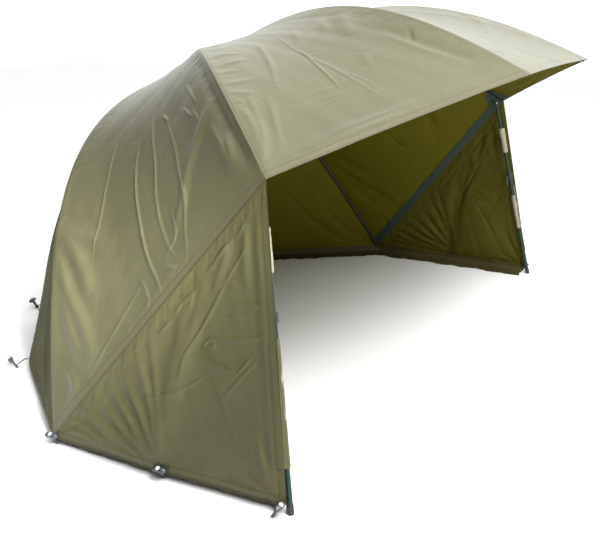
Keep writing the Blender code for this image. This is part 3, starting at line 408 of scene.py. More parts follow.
def cloth_material(name, light, dark, roughness, coat, shine, rows, streak_turn):
    """Coated nylon. Its map is in metres: X away from the seam or the front edge, Y up from the hem.

    rows lists its rows of stitches: 0 for X or 1 for Y, and how far along that axis the row lies.
    """
    material, shader, net = new_material(name)
    uv, place = net.map(), net.place()
    split = net.node("ShaderNodeSeparateXYZ")
    net.join(uv, split.inputs[0])
    axes = split.outputs[0], split.outputs[1]

    # Slight clouding and the threads of the weave
    cloud = net.noise(place, 2.4, 5.0, 0.6)
    fine = net.noise(net.scaled(uv, (900, 900, 900)), 1.0, 2.0)
    tint = net.mix(net.grey(cloud, [(0.35, 0), (0.65, 1)]), dark, light)
    tint = net.mix(net.times(net.grey(fine, [(0.35, 1), (0.65, 0)]), 0.12), tint, dark)

    # Rows of stitches, and the dimple that each row draws
    line = thread = 0.0
    for axis, offset in rows:
        near = net.math("ABSOLUTE", net.math("SUBTRACT", axes[axis], offset))
        one = net.math("SUBTRACT", 1, net.math("DIVIDE", near, STITCH_ROW_WIDTH), clamp=True)
        dash = net.math("SINE", net.times(axes[1 - axis], 2 * math.pi / STITCH_PITCH))
        dash = net.math("ADD", net.times(dash, 1.6), 0.9, clamp=True)
        line = net.math("MAXIMUM", line, one)
        thread = net.math("MAXIMUM", thread, net.times(one, dash))
    tint = net.mix(net.times(line, 0.65), tint, tuple(0.35 * v for v in dark))
    tint = net.mix(net.times(thread, 0.45), tint, tuple(0.5 * v for v in dark))

    # Fine weave, long soft streaks that the tension draws, and small sharp crumples
    weave = net.node("ShaderNodeTexChecker")
    net.fill(weave, {"Vector": net.scaled(uv, (1250, 1250, 1)), "Scale": 1.0})
    streak = net.noise(net.scaled(uv, (26, 3.2, 1), streak_turn), 1.0, 4.0, 0.55, 0.4)
    crumple = net.noise(place, 19.0, 5.0, 0.6, 0.8)
    ridged = net.math("ABSOLUTE", net.math("SUBTRACT", net.noise(place, 6.0, 4.0, 0.6, 1.2), 0.5))
    normal = net.bump(weave.outputs["Fac"], 0.10, 0.0002)
    normal = net.bump(thread, 0.5, 0.0006, normal)
    normal = net.bump(line, 0.45, -0.0011, normal)
    normal = net.bump(streak, 0.12, 0.012, normal)
    normal = net.bump(crumple, 0.28, 0.004, normal)
    normal = net.bump(net.grey(ridged, [(0.0, 1), (0.03, 0.3), (0.2, 0)]), 0.26, 0.0025, normal)
    net.fill(shader, {
        "Base Color": tint, "Roughness": net.between(cloud, roughness - 0.08, 0.16), "Normal": normal,
        "Coat Weight": coat, "Coat Roughness": 0.30, "Specular IOR Level": shine,
    })
    return material


def webbing_material(name, colour):
    """Ribbed webbing, with its map in metres: X along and Y across."""
    material, shader, net = new_material(name)
    uv = net.map()
    both = net.times(net.wave(net.scaled(uv, (120, 120, 1)), "X"), net.wave(net.scaled(uv, (90, 90, 1)), "Y"))
    worn = net.grey(net.noise(uv, 60.0, 3.0), [(0.5, 0), (0.8, 1)])
    tint = net.mix(both, tuple(v * 0.55 for v in colour), colour)
    tint = net.mix(net.times(worn, 0.25), tint, tuple(v * 1.8 for v in colour))
    net.fill(shader, {
        "Base Color": tint, "Normal": net.bump(both, 0.6, 0.0006), "Roughness": 0.72, "Sheen Weight": 0.04,
    })
    return material


def painted_metal(name, colour, metallic, roughness):
    """Lacquered tube: faint orange peel, rubbed patches and fine scratches."""
    material, shader, net = new_material(name)
    place = net.place()
    peel = net.noise(place, 420.0, 2.0)
    scratch = net.noise(net.scaled(place, (900, 900, 40)), 1.0, 3.0, 0.7)
    rub = net.noise(place, 9.0, 5.0, 0.6)
    worn = net.times(net.grey(rub, [(0.58, 0), (0.75, 1)]), net.grey(scratch, [(0.5, 0), (0.62, 1)]))
    net.fill(shader, {
        "Base Color": net.mix(net.times(worn, 0.3), colour, (0.12, 0.13, 0.11)),
        "Roughness": net.between(rub, roughness - 0.06, 0.16),
        "Normal": net.bump(scratch, 0.10, 0.0003, net.bump(peel, 0.10, 0.0003)),
        "Metallic": metallic,
    })
    return material


def moulded_plastic(name, colour, roughness):
    """Plastic with a fine moulded grain and faint smears."""
    material, shader, net = new_material(name)
    place = net.place()
    fine = net.noise(place, 900.0, 3.0, 0.6)
    smear = net.noise(place, 30.0, 4.0, 0.6)
    pale = tuple(min(1, v * 1.5 + 0.01) for v in colour)
    net.fill(shader, {
        "Base Color": net.mix(net.grey(smear, [(0.45, 0), (0.75, 0.6)]), colour, pale),
        "Roughness": net.between(smear, roughness - 0.08, 0.2),
        "Normal": net.bump(fine, 0.18, 0.0003),
        "Coat Weight": 0.1,
    })
    return material


def bright_metal(name):
    """Steel brushed lengthways."""
    material, shader, net = new_material(name)
    brush = net.noise(net.scaled(net.place(), (2000, 2000, 100)), 1.0, 3.0)
    net.fill(shader, {
        "Base Color": net.grey(brush, [(0.3, 0.55), (0.7, 0.75)]),
        "Roughness": net.between(brush, 0.16, 0.18),
        "Normal": net.bump(brush, 0.12, 0.0002),
        "Metallic": 1.0,
    })
    return material


# Meshes of thin cloth
def grid_normals(points):
    return unit(np.cross(np.gradient(points, axis=0), np.gradient(points, axis=1)))


def flat_map(x, y):
    """A map in metres, from the place along each of its axes."""
    return np.stack(np.broadcast_arrays(x, y), -1)


def run_along(points):
    """How far each point of a row is from its first one, along the row."""
    legs = np.linalg.norm(np.diff(points, axis=-2), axis=-1)
    return np.concatenate((np.zeros_like(legs[..., :1]), np.cumsum(legs, axis=-1)), axis=-1)


def joined(halves):
    """One grid from the halves on both sides of a rib, for each of the grids that a half has."""
    return [np.concatenate((one[:, ::-1], two[:, 1:]), axis=1) for one, two in zip(*halves)]


def true_normals(points, normals, ends=None):
    """The normals of a grid of points as it is bent. ends has the way across its first and last columns."""
    across = np.gradient(points, axis=1)
    if ends is not None:
        across[:, 0], across[:, -1] = ends
    square = unit(np.cross(np.gradient(points, axis=0), across))
    return square * np.sign(np.sum(square * normals, -1, keepdims=True))


def shell(name, points, normals, uv, materials, thickness=CLOTH, shade=None, matt_painted_shade=None):
    """A thin closed sheet round a grid of points: an outer side, an inner side and the rim between them."""
    rows, columns = points.shape[:2]
    count = rows * columns
    half = normals * (thickness / 2)
    verts = np.concatenate((points + half, points - half)).reshape(-1, 3)
    index = np.arange(count).reshape(rows, columns)
    outer = np.stack((index[:-1, :-1], index[:-1, 1:], index[1:, 1:], index[1:, :-1]), -1).reshape(-1, 4)
    edge = np.concatenate((index[0, :-1], index[:-1, -1], index[-1, :0:-1], index[:0:-1, 0]))
    after = np.roll(edge, -1)
    rim = np.stack((after, edge, edge + count, after + count), -1)
    inner = outer[:, (0, 3, 2, 1)] + count
    diagonals = points[:-1, :-1] - points[1:, 1:], points[:-1, 1:] - points[1:, :-1]
    facing = np.sum(np.cross(*diagonals) * normals[:-1, :-1], -1).sum()
    quads = np.concatenate((outer, inner, rim))
    if facing < 0:
        quads = quads[:, ::-1]
    mesh = bpy.data.meshes.new(name)
    mesh.vertices.add(len(verts))
    mesh.vertices.foreach_set("co", verts.astype(np.float32).ravel())
    mesh.loops.add(quads.size)
    mesh.loops.foreach_set("vertex_index", quads.astype(np.int32).ravel())
    mesh.polygons.add(len(quads))
    mesh.polygons.foreach_set("loop_start", np.arange(0, quads.size, 4, dtype=np.int32))
    mesh.polygons.foreach_set("use_smooth", np.ones(len(quads), bool))
    slots = np.zeros(len(quads), np.int32)
    # The inner side takes the second material, whose darkness is partly painted shade.
    if len(materials) > 1:
        slots[len(outer):len(outer) + len(inner)] = 1
    # Outer faces marked by the mask take the third material, a less glossy, darker copy of the outside cloth
    # as painted shade.
    if matt_painted_shade is not None:
        slots[:len(outer)] = np.where(np.tile(matt_painted_shade[1:], rows - 1), 2, 0)
    for material in materials:
        mesh.materials.append(material)
    mesh.polygons.foreach_set("material_index", slots)
    mesh.update(calc_edges=True)
    layer = mesh.uv_layers.new(name="cloth")
    both = np.concatenate((uv.reshape(-1, 2), uv.reshape(-1, 2)))
    layer.data.foreach_set("uv", both[quads.ravel()].astype(np.float32).ravel())
    shade = (true_normals(points, normals) if shade is None else shade).reshape(-1, 3)
    mesh.normals_split_custom_set_from_vertices(np.concatenate((shade, -shade)).tolist())
    return add_object(name, mesh)


def grid_area(points):
    a = points[1:, 1:] - points[:-1, :-1]
    b = points[1:, :-1] - points[:-1, 1:]
    return float(np.linalg.norm(np.cross(a, b), axis=-1).sum() / 2)


def length_of(line):
    return float(np.linalg.norm(np.diff(line, axis=0), axis=-1).sum())


def smooth_line(points, count):
    """A smooth row of points through a few given ones."""
    points = np.asarray(points, float)
    if len(points) == 2:
        return points[0] + (points[1] - points[0]) * np.linspace(0, 1, count)[:, None]
    padded = np.concatenate((2 * points[:1] - points[1:2], points, 2 * points[-1:] - points[-2:-1]))
    made = []
    for u in np.linspace(0, len(points) - 1 - 1e-9, count):
        i = int(u)
        f = u - i
        a, b, c, d = padded[i:i + 4]
        curved = (2 * a - 5 * b + 4 * c - d) * f**2 + (3 * b - a - 3 * c + d) * f**3
        made.append(0.5 * (2 * b + (c - a) * f + curved))
    return np.array(made)


def raised(points, strokes):
    """How far folds lift the cloth at each point. A stroke is a fold's height, width and line."""
    flat = points.reshape(-1, 3)
    away = np.zeros(len(flat))
    for height, width, line in strokes:
        reach = 3 * width
        low, high = line.min(0) - reach, line.max(0) + reach
        near = np.flatnonzero(np.all((flat > low) & (flat < high), axis=1))
        if len(near) == 0:
            continue
        spots = flat[near]
        best = np.full(len(near), np.inf)
        share = np.zeros(len(near))
        for i in range(len(line) - 1):
            a, ab = line[i], line[i + 1] - line[i]
            u = np.clip((spots - a) @ ab / max(ab @ ab, 1e-12), 0, 1)
            d = np.linalg.norm(spots - a - u[:, None] * ab, axis=1)
            closer = d < best
            best[closer] = d[closer]
            share[closer] = (i + u[closer]) / (len(line) - 1)
        fade = np.sqrt(np.clip(np.sin(math.pi * np.clip(share, 0.02, 0.98)), 0, 1))
        away[near] += height * bell(best, width) * fade
    return away.reshape(points.shape[:-1])


# The folds of the left side: a height and a width in millimetres, then the points of a line, across its panel
# and out along it by turns, in thousandths
FOLDS = {
    "corner_left-side_left": (
        (3.2, 7, 504, 575, 525, 683, 512, 794, 487, 892, 454, 951, 438, 990),
        (2.4, 7, 404, 481, 412, 598, 404, 716, 417, 797, 396, 899, 358, 958),
        (2.4, 8, 321, 582, 287, 709, 287, 797, 275, 856, 296, 902, 321, 980),
        (4.0, 22, 71, 706, 154, 758, 242, 807, 292, 863, 342, 895),
        (2.2, 8, 200, 628, 171, 683),
        (2.2, 8, 154, 546, 129, 657),
        (1.8, 8, 150, 677, 142, 729),
        (1.8, 8, 338, 566, 304, 611),
        (-5.0, 24, 45, 450, 42, 579, 42, 709, 37, 820, 29, 895, 25, 954),
        (3.0, 12, 96, 775, 83, 856, 83, 912),
        (2.6, 12, 54, 833, 67, 909),
        (1.8, 7, 700, 566, 721, 657, 742, 719, 779, 781),
        (1.6, 7, 683, 517, 704, 615),
        (1.8, 8, 529, 915, 500, 964, 512, 987),
        (2.0, 8, 412, 944, 362, 974, 308, 977),
        (1.8, 8, 354, 856, 346, 912, 404, 931),
        (1.5, 8, 921, 995, 762, 971, 608, 944, 504, 925),
        (1.5, 8, 912, 997, 717, 987, 546, 974, 367, 970),
        (6.0, 34, 992, 673, 900, 722, 829, 788, 779, 856),
        (6.0, 30, 979, 713, 887, 824, 812, 905, 779, 975),
        (4.5, 26, 946, 807, 875, 895, 829, 954),
        (3.5, 20, 904, 935, 875, 970, 917, 990),
        (3.0, 30, 975, 660, 833, 722, 700, 784),
    ),
    "front_left-corner_left": (
        (2.2, 7, 521, 624, 546, 739, 562, 846),
        (1.4, 6, 483, 458, 533, 618, 504, 765, 475, 918),
        (1.2, 6, 508, 706, 475, 869),
        (1.2, 6, 487, 775, 446, 866),
        (5.0, 34, 92, 520, 204, 598, 263, 660),
        (3.4, 20, 196, 497, 300, 579),
        (2.4, 16, 329, 742, 379, 797),
        (2.2, 14, 379, 490, 471, 582),
        (-3.6, 26, 142, 664, 133, 784, 96, 876, 62, 928),
        (2.6, 16, 167, 696, 154, 814, 121, 889),
        (-3.0, 10, 79, 735, 138, 781),
        (3.0, 14, 960, 520, 880, 515, 800, 530),
        (3.0, 14, 954, 592, 871, 588, 796, 588),
        (2.6, 12, 967, 637, 871, 637),
        (3.2, 16, 975, 693, 908, 696, 833, 699),
        (2.6, 14, 970, 739, 925, 745, 871, 755),
        (2.4, 14, 970, 775, 933, 778),
        (2.2, 12, 950, 440, 820, 440),
        (2.2, 12, 940, 370, 800, 375),
        (2.8, 12, 637, 471, 683, 585, 713, 654, 775, 758),
        (2.4, 12, 833, 781, 867, 863, 908, 951),
        (3.4, 14, 958, 797, 954, 866, 975, 948),
        (3.0, 12, 917, 837, 938, 902, 971, 954),
        (2.2, 12, 908, 762, 917, 837),
        (1.4, 8, 704, 827, 637, 824, 588, 824),
        (1.4, 8, 646, 856, 546, 856),
        (1.4, 8, 854, 882, 800, 869),
        (1.4, 8, 796, 856, 704, 850),
        (1.2, 8, 729, 876, 625, 869),
        (1.2, 7, 892, 938, 867, 935),
        (3.6, 18, 960, 967, 858, 967, 742, 971, 575, 967, 392, 975),
        (2.6, 12, 970, 980, 817, 984, 633, 988, 462, 988),
        (3.0, 20, 875, 951, 642, 960, 492, 962, 308, 960),
    ),
    "front_right-front_left": (
        (1.8, 16, 21, 647, 129, 732, 492, 850),
        (1.6, 14, 237, 654, 546, 775),
        (1.4, 12, 33, 719, 358, 824),
        (2.0, 16, 779, 974, 438, 974, 154, 977),
        (2.4, 20, 960, 900, 780, 930),
        (1.4, 12, 729, 608, 904, 745),
    ),
    "rear_right-side_right": (
        (4.0, 18, 942, 735, 904, 824, 925, 886, 958, 977),
        (4.5, 18, 875, 820, 883, 912, 954, 990),
        (4.0, 20, 729, 860, 783, 912, 846, 964, 946, 990),
        (3.0, 16, 692, 781, 738, 830, 746, 879),
        (2.6, 14, 800, 745, 825, 801, 821, 846),
        (3.0, 20, 842, 729, 879, 791, 862, 850),
    ),
}
MIRRORED = {
    "side_right-corner_right": "corner_left-side_left",
    "corner_right-front_right": "front_left-corner_left",
    "side_left-rear_left": "rear_right-side_right",
}
# The folds of a wing, in the same way: back from the pole and down from the seam by turns
WING_FOLDS = (
    (2.2, 6, 287, 425, 254, 540, 221, 655, 179, 805, 146, 965),
    (2.2, 6, 254, 360, 154, 425, 54, 460),
    (2.4, 6, 254, 360, 287, 375, 237, 440, 158, 550),
    (2.2, 6, 158, 550, 100, 510),
    (2.0, 6, 300, 425, 221, 500, 158, 550),
    (1.8, 6, 254, 360, 242, 405, 283, 375),
    (1.7, 6, 192, 270, 83, 340, 60, 350),
    (2.4, 8, 179, 190, 233, 245, 296, 305, 362, 380, 392, 490),
    (1.7, 6, 179, 190, 100, 285),
    (1.6, 6, 71, 135, 133, 160, 179, 190),
    (1.4, 6, 83, 530, 163, 580, 208, 615),
    (1.2, 6, 679, 430, 529, 505, 396, 530, 283, 505),
    (1.2, 6, 242, 165, 179, 190),
    (1.4, 6, 175, 325, 108, 365),
    (5.0, 15, 842, 230, 742, 685, 633, 865, 529, 970),
    (5.0, 15, 775, 230, 675, 650, 579, 845, 517, 950),
    (5.0, 14, 708, 215, 633, 585, 562, 815, 508, 935),
    (5.0, 15, 642, 195, 588, 510, 529, 785, 500, 925),
    (4.6, 15, 571, 175, 533, 450, 508, 720, 496, 900),
    (4.0, 14, 508, 155, 496, 395, 487, 655, 487, 880),
    (3.6, 13, 929, 490, 800, 835, 658, 935, 542, 985),
    (3.0, 12, 887, 310, 783, 740, 646, 915),
    (4.0, 22, 325, 95, 375, 240, 421, 420, 462, 635, 483, 850),
    (4.0, 24, 263, 100, 304, 210, 354, 335, 412, 550, 462, 875),
    (3.2, 16, 163, 60, 183, 115, 221, 175),
    (2.6, 14, 92, 50, 92, 115, 100, 185, 96, 285),
    (3.0, 14, 92, 830, 71, 905, 60, 970),
    (2.4, 12, 150, 930, 100, 960, 70, 980),
    (2.0, 12, 229, 965, 142, 985, 79, 990),
    (2.6, 14, 117, 750, 83, 850, 65, 925),
    (3.0, 9, 217, 75, 179, 70, 146, 70),
    (2.6, 8, 250, 75, 208, 90),
    (2.4, 9, 350, 105, 300, 110),
    (2.4, 9, 467, 145, 408, 135),
    (2.0, 8, 329, 160, 312, 115),
    (2.0, 8, 392, 120, 362, 100),
    (2.0, 8, 121, 70, 92, 60),
)

# How much higher the folds are made than they were measured
FRONT_FOLD_SIZE, FOLD_SIZE, WING_FOLD_SIZE = 1.2, 2.0, 2.3
# A fold narrower than this, in millimetres, is drawn in more
SHARP_FOLD = 10
# The usual length of a gore from the hub to its hem
ARC = 1.35


def strokes(folds, size, place):
    """Folds as heights, widths and lines in space. place gives a line's points from its two shares."""
    made = []
    for height, width, *line in folds:
        line = smooth_line(np.reshape(line, (-1, 2)) / 1000, 14)
        narrowed = width * (0.65 if width < SHARP_FOLD else 0.9)
        made.append((size * height / 1000, narrowed / 1000, place(line[:, 0], line[:, 1])))
    return made


def strokes_of(panel):
    """The folds of a panel. The right side has the left side's."""
    mirrored = MIRRORED.get(panel.name)
    size = FRONT_FOLD_SIZE if "front" in panel.name else FOLD_SIZE
    return strokes(
        FOLDS.get(mirrored or panel.name, ()), size, lambda s, t: panel.base(t, 1 - s if mirrored else s)
    )


STROKES = {panel.name: strokes_of(panel) for panel in PANELS}

# How far the doubled cloth reaches from a rib and up from the hem, and where it ends
FRONT_SEAM_BAND, SEAM_BAND, HEM_BAND, BAND_END = 0.028, 0.0105, 0.0205, 0.002
DOUBLED_RISE = 0.0004
RIB_DIP, RIB_DIP_WIDTH = 0.0016, 0.006
TAUT_START, TAUT_END = 0.002, 0.055
HEM_GATHER = 0.0012
USUAL_WIDTH, USUAL_LENGTH = 1.2, 1.3


def slackness(panel, t, s, near, up):
    """How far the cloth stands off its even surface by slow waves and small tucks."""
    k = PANELS.index(panel)
    edge = step(near, 0, 0.10)
    low = step(up, 0, 0.05)
    x, y = s * USUAL_WIDTH, t * USUAL_LENGTH
    away = (0.0022 * ripple(5.5 * x + 2.5 * y, k) + 0.0016 * ripple(9.0 * y - 3.0 * x, k + 0.5)) * edge
    away = away * (0.35 + 0.65 * low)
    away += 0.0010 * bell(near - 0.034, 0.020) * np.clip(t * 3, 0, 1) * ripple(80 * t, k + 2)
    if not STROKES[panel.name]:
        for tip in (0.0, 1.0):
            angle = np.arctan2(np.abs(s - tip) * USUAL_WIDTH, (1 - t) * USUAL_LENGTH)
            reach = np.hypot((s - tip) * USUAL_WIDTH, (1 - t) * USUAL_LENGTH)
            fan = bell(reach - 0.16, 0.16) * np.sin(np.clip(angle * 2, 0, math.pi))
            away += 0.0032 * fan * ripple(15 * angle, k + 5 + tip)
    return away


def panel_beside(index, at_first):
    """The panel that starts at a rib, or the one that ends there."""
    return PANELS[(index + 1) % len(RIBS)] if at_first else PANELS[index]


def above_wing(panel):
    return {panel.first.kind, panel.second.kind} == {"corner", "side"}


def gore_side(index, at_first, t, near, inward=0.0):
    """Points, normals and map of one half of a rib's cloth. near is the distance from the rib."""
    rib = RIBS[index]
    panel = panel_beside(index, at_first)
    t = np.broadcast_to(t, near.shape)
    share = near / panel.width(t)
    s = share if at_first else 1 - share
    points = panel.base(t, s)
    normals = panel.normal(t, s)
    turn = np.clip(near / 0.020, 0, 1)[..., None]
    normals = unit(rib.outward(t) * (1 - turn) + normals * turn)
    up = (1 - t) * ARC
    away = -RIB_DIP * bell(near, RIB_DIP_WIDTH) - inward
    # The seam above a storm wing is taut
    lift = raised(points, STROKES[panel.name]) * (step(up, TAUT_START, TAUT_END) if above_wing(panel) else 1)
    away = away + slackness(panel, t, s, near, up) + lift
    # The seam is doubled, further on its front side, and so is the hem
    in_front = rib.rank > min(panel.first.rank, panel.second.rank)
    band = FRONT_SEAM_BAND if in_front else SEAM_BAND
    seam = 1 - step(near, band, band + BAND_END)
    hem = (1 - step(up, HEM_BAND, HEM_BAND + BAND_END)) * (1 - seam)
    away = away + DOUBLED_RISE * (seam + hem)
    if panel.grounded:
        gather = bell(up - 0.012, 0.012) * ripple(230 * s, index) * np.clip(near / 0.04, 0, 1)
        away = away + HEM_GATHER * gather
    uv = flat_map(near * (1 if at_first else -1), up)
    return points + normals * away[..., None], normals, uv


# How far from the rib and from the hem a gore's first points lie
SEAM_STEPS = np.array((0, 0.0022, 0.0045, 0.0075, 0.0105, 0.0125, 0.016, 0.022, 0.028, 0.030))
HEM_STEPS = np.array((0, 0.002, 0.006, 0.012, 0.018, 0.0205, 0.0225, 0.026, 0.032))
HEM_TOP = 0.038
GORE_START = 0.012


def gore_grid(index, rows, columns):
    """A gore's points, normals and map, finer at its seam and hem, and its normals as it is bent."""
    t = np.concatenate((1 - HEM_STEPS / ARC, 1 - np.linspace(HEM_TOP / ARC, 1 - GORE_START, rows)))
    t = t[::-1, None]
    halves, ends = [], []
    for at_first in (False, True):
        half = panel_beside(index, at_first).width(t) / 2
        beside = gore_side(index, at_first, t, half + np.array((-0.001, 0.001)))[0]
        ends.append((beside[:, 1] - beside[:, 0]) * (1 if at_first else -1))
        even = np.linspace(0, 1, columns + len(SEAM_STEPS)) * half
        beyond = SEAM_STEPS[-1] + (half - SEAM_STEPS[-1]) * np.linspace(0, 1, columns + 1)[1:]
        wanted = np.concatenate((np.broadcast_to(SEAM_STEPS, (len(t), len(SEAM_STEPS))), beyond), axis=1)
        enough = np.clip((half - 0.07) / 0.06, 0, 1)
        # Near the hub a gore is too narrow for the seam's own steps
        near = even * (1 - enough) + wanted * enough
        halves.append(gore_side(index, at_first, t, near))
    points, normals, uv = joined(halves)
    return points, normals, uv, true_normals(points, normals, ends)


def declare_sheet(points):
    area = grid_area(points)
    width = max(length_of(points[row]) for row in (0, -1, len(points) // 2))
    length = max(length_of(points[:, points.shape[1] // 2]), area / width)


def attach(piece, body, slot, *nodes):
    """Make a piece ride on a body, in place of the nodes that it stands for. Its slot is not used."""
    if nodes:
        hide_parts(*nodes)
    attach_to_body(piece, body)
    return piece


# Rows and columns of half a gore, where the photograph shows it and elsewhere
SEEN_GORES = ("front_left", "corner_left", "side_left")
FINE_GORE, PLAIN_GORE = (290, 105), (130, 44)


def make_canopy(cloth, flap, tape):
    for index, rib in enumerate(RIBS):
        points, normals, uv, shade = gore_grid(index, *(FINE_GORE if rib.name in SEEN_GORES else PLAIN_GORE))
        # The cloth behind the side ribs is less glossy and a little darker: painted shade.
        matt_painted_shade = (uv[-1, :, 0] * -SIDES[rib.side] > 0) & (rib.kind == "side") | (rib.kind == "rear")
        piece = shell(f"canopy_cloth_{rib.name}", points, normals, uv, cloth, shade=shade, matt_painted_shade=matt_painted_shade)
        attach(piece, rib.body, "canopy_cloth", f"{rib.name}_canopy_gore")
        if rib.grounded:
            low = points[-1, :, 2] < HEM + 0.003
            hem, above = points[-1, low], points[-3, low]
            make_flap(f"ground_flap_{rib.name}", hem, above, rib.body, flap)
        if rib.kind == "side":
            hem = points[-1, points.shape[1] // 2]
            make_peg_tab("side_peg", rib.side, hem, 0.010, rib.body, tape)
        if rib.kind in ("corner", "side"):
            make_tape(index, tape)
        if rib.kind in ("corner", "front"):
            make_patch(index, tape)
        declare_sheet(points)


THIN_CLOTH = 0.0006
FLAP_LOWEST = FLAP_SET_IN = 0.0016
FLAP_MIDDLE_Y = 0.2
# The section of a ground flap: how far in from the hem and how far below it
FLAP_INWARD = np.array((0, 0, 0.003, 0.010, 0.020, 0.032, 0.046, 0.060, 0.076))
FLAP_DROP = np.array((-0.010, 0, 0.010, 0.018, 0.0225, 0.0245, 0.0255, 0.026, 0.0262))


def make_flap(name, hem, above, body, material, fade=1.0):
    """The dark strip sewn inside a hem, which hangs from it and turns in along the ground."""
    along = np.gradient(hem, axis=0)
    square = unit(np.stack((along[:, 1], -along[:, 0], np.zeros(len(hem))), -1))
    square *= np.sign(np.sum((np.array((0.0, FLAP_MIDDLE_Y, 0.0)) - hem) * square, -1, keepdims=True))
    up = unit(above - hem)
    way = np.arctan2(hem[:, 1] - FLAP_MIDDLE_Y, hem[:, 0])
    wave = ripple(70 * way, 1.1) * 0.06 + ripple(31 * way, 4.3) * 0.12
    rows = []
    for i, (reach, low) in enumerate(zip(FLAP_INWARD, FLAP_DROP)):
        lift = np.clip(0.0022 * ripple(90 * way + 0.4 * i, 2.7) * min(1, i / 3), -0.0015, 0.004)
        row = hem + square * (FLAP_SET_IN + reach * (1 + wave) * fade)[:, None]
        rows.append(row + (up * -low if low <= 0 else DOWN * (low - lift)[:, None]))
    points = np.array(rows)
    points[..., 2] = np.maximum(points[..., 2], FLAP_LOWEST)
    normals = grid_normals(points)
    normals *= np.sign(normals[..., 2:].sum())
    uv = flat_map(run_along(hem)[None, :], (FLAP_INWARD + FLAP_DROP)[:, None])
    return attach(shell(name, points, normals, uv, [material], THIN_CLOTH), body, "canopy_cloth")


TAPE_START, TAPE_INWARD, PATCH_INWARD = 0.012, 0.0026, 0.0022


def make_tape(index, material):
    """The dark tape inside the seam between the canopy and a storm wing, on one gore."""
    rib = RIBS[index]
    at_first = above_wing(panel_beside(index, True))
    t = 1 - np.linspace(0.003, 0.031, 7)[:, None] / ARC
    half = panel_beside(index, at_first).width(t) / 2
    near = TAPE_START + (half - TAPE_START) * np.linspace(0, 1, 90)
    points, normals, uv = gore_side(index, at_first, t, near, TAPE_INWARD)
    piece = shell(f"seam_tape_{rib.name}", points, -normals, np.abs(uv), [material], THIN_CLOTH)
    return attach(piece, rib.body, "canopy_cloth")


def make_patch(index, material):
    """The reinforcement inside the cloth at a free rib's tip, wide at the hem and narrow above."""
    rib = RIBS[index]
    t = 1 - np.linspace(0.004, 0.075, 12)[:, None] / ARC
    near = 0.0001 + np.linspace(0.085, 0.030, 12)[:, None] * np.linspace(0, 1, 16)
    halves = [gore_side(index, at_first, t, near, PATCH_INWARD) for at_first in (False, True)]
    points, normals, uv = joined(halves)
    piece = shell(f"tip_patch_{rib.name}", points, -normals, uv, [material], THIN_CLOTH)
    return attach(piece, rib.body, "canopy_cloth")


# Storm wings and poles
def pole_line(side):
    rib = BY_NAME[f"corner_{side}"]
    start = rib.point(rib.share_before_tip(POLE_INSET))
    foot = np.array((SIDES[side] * POLE_FOOT[0], -POLE_FOOT[1] + SHIFT_Y, 0.0))
    return start, foot


class Wing:
    """A storm wing's even surface. x is a share of its width, back from the pole, and y one of its height."""

    def __init__(self, side):
        self.way = SIDES[side]
        self.out = np.array((self.way, 0.0, 0.0))
        names = (f"corner_{side}-side_{side}", f"side_{side}-corner_{side}")
        self.panel = next(PANEL[name] for name in names if name in PANEL)
        self.forward_first = self.panel.first.kind == "corner"
        start, foot = pole_line(side)
        self.front = foot + (start - foot) * HEM / start[2] + self.out * WING_OFF_POLE
        self.middle = np.array((self.way * WING_PEG[0], -WING_PEG[1] + SHIFT_Y, HEM))
        self.back = np.array((self.way * WING_BACK[0], -WING_BACK[1] + SHIFT_Y, HEM))
        self.seam = unit(self.panel.base(1.0, 1.0) - self.panel.base(1.0, 0.0))
        self.depth = float(np.linalg.norm(self.middle - self.front) + np.linalg.norm(self.back - self.middle))

    def across(self, x):
        return WING_END * x if self.forward_first else 1 - WING_END * x

    def ends(self, x):
        x = np.asarray(x, float)
        top = self.panel.base(np.ones(x.shape), self.across(x))
        near, far = 2 * x[..., None], 2 * x[..., None] - 1
        bottom = np.where(
            x[..., None] < 0.5,
            self.front + (self.middle - self.front) * near,
            self.middle + (self.back - self.middle) * far,
        )
        down = bottom - top
        down = down - self.seam * np.sum(down * self.seam, -1, keepdims=True)
        return top + unit(down) * 0.0004 - self.canopy_normal(x) * TUCK, bottom

    def canopy_normal(self, x):
        """Square to the canopy above the seam, away from the shelter."""
        return self.panel.normal(np.ones(np.shape(x)), self.across(x))

    def base(self, x, y):
        x, y = np.broadcast_arrays(np.asarray(x, float), np.asarray(y, float))
        top, bottom = self.ends(x)
        return top + (bottom - top) * y[..., None]

    def normals(self, points):
        made = grid_normals(points)
        return made * np.sign(made @ self.out)[..., None]


WING_DOUBLED_RISE = 0.0008
EDGE_BAND = 0.0225
FINE_EDGE = 0.080
# Shares of a wing's height, and distances up from its seam
WING_TOP_STEPS = (0, 0.003, 0.006, 0.010)
WING_HEM_STEPS = (0.967, 0.974, 0.981, 0.988, 1)
TUCK_STEPS = np.array((0.014, 0.010, 0.005))


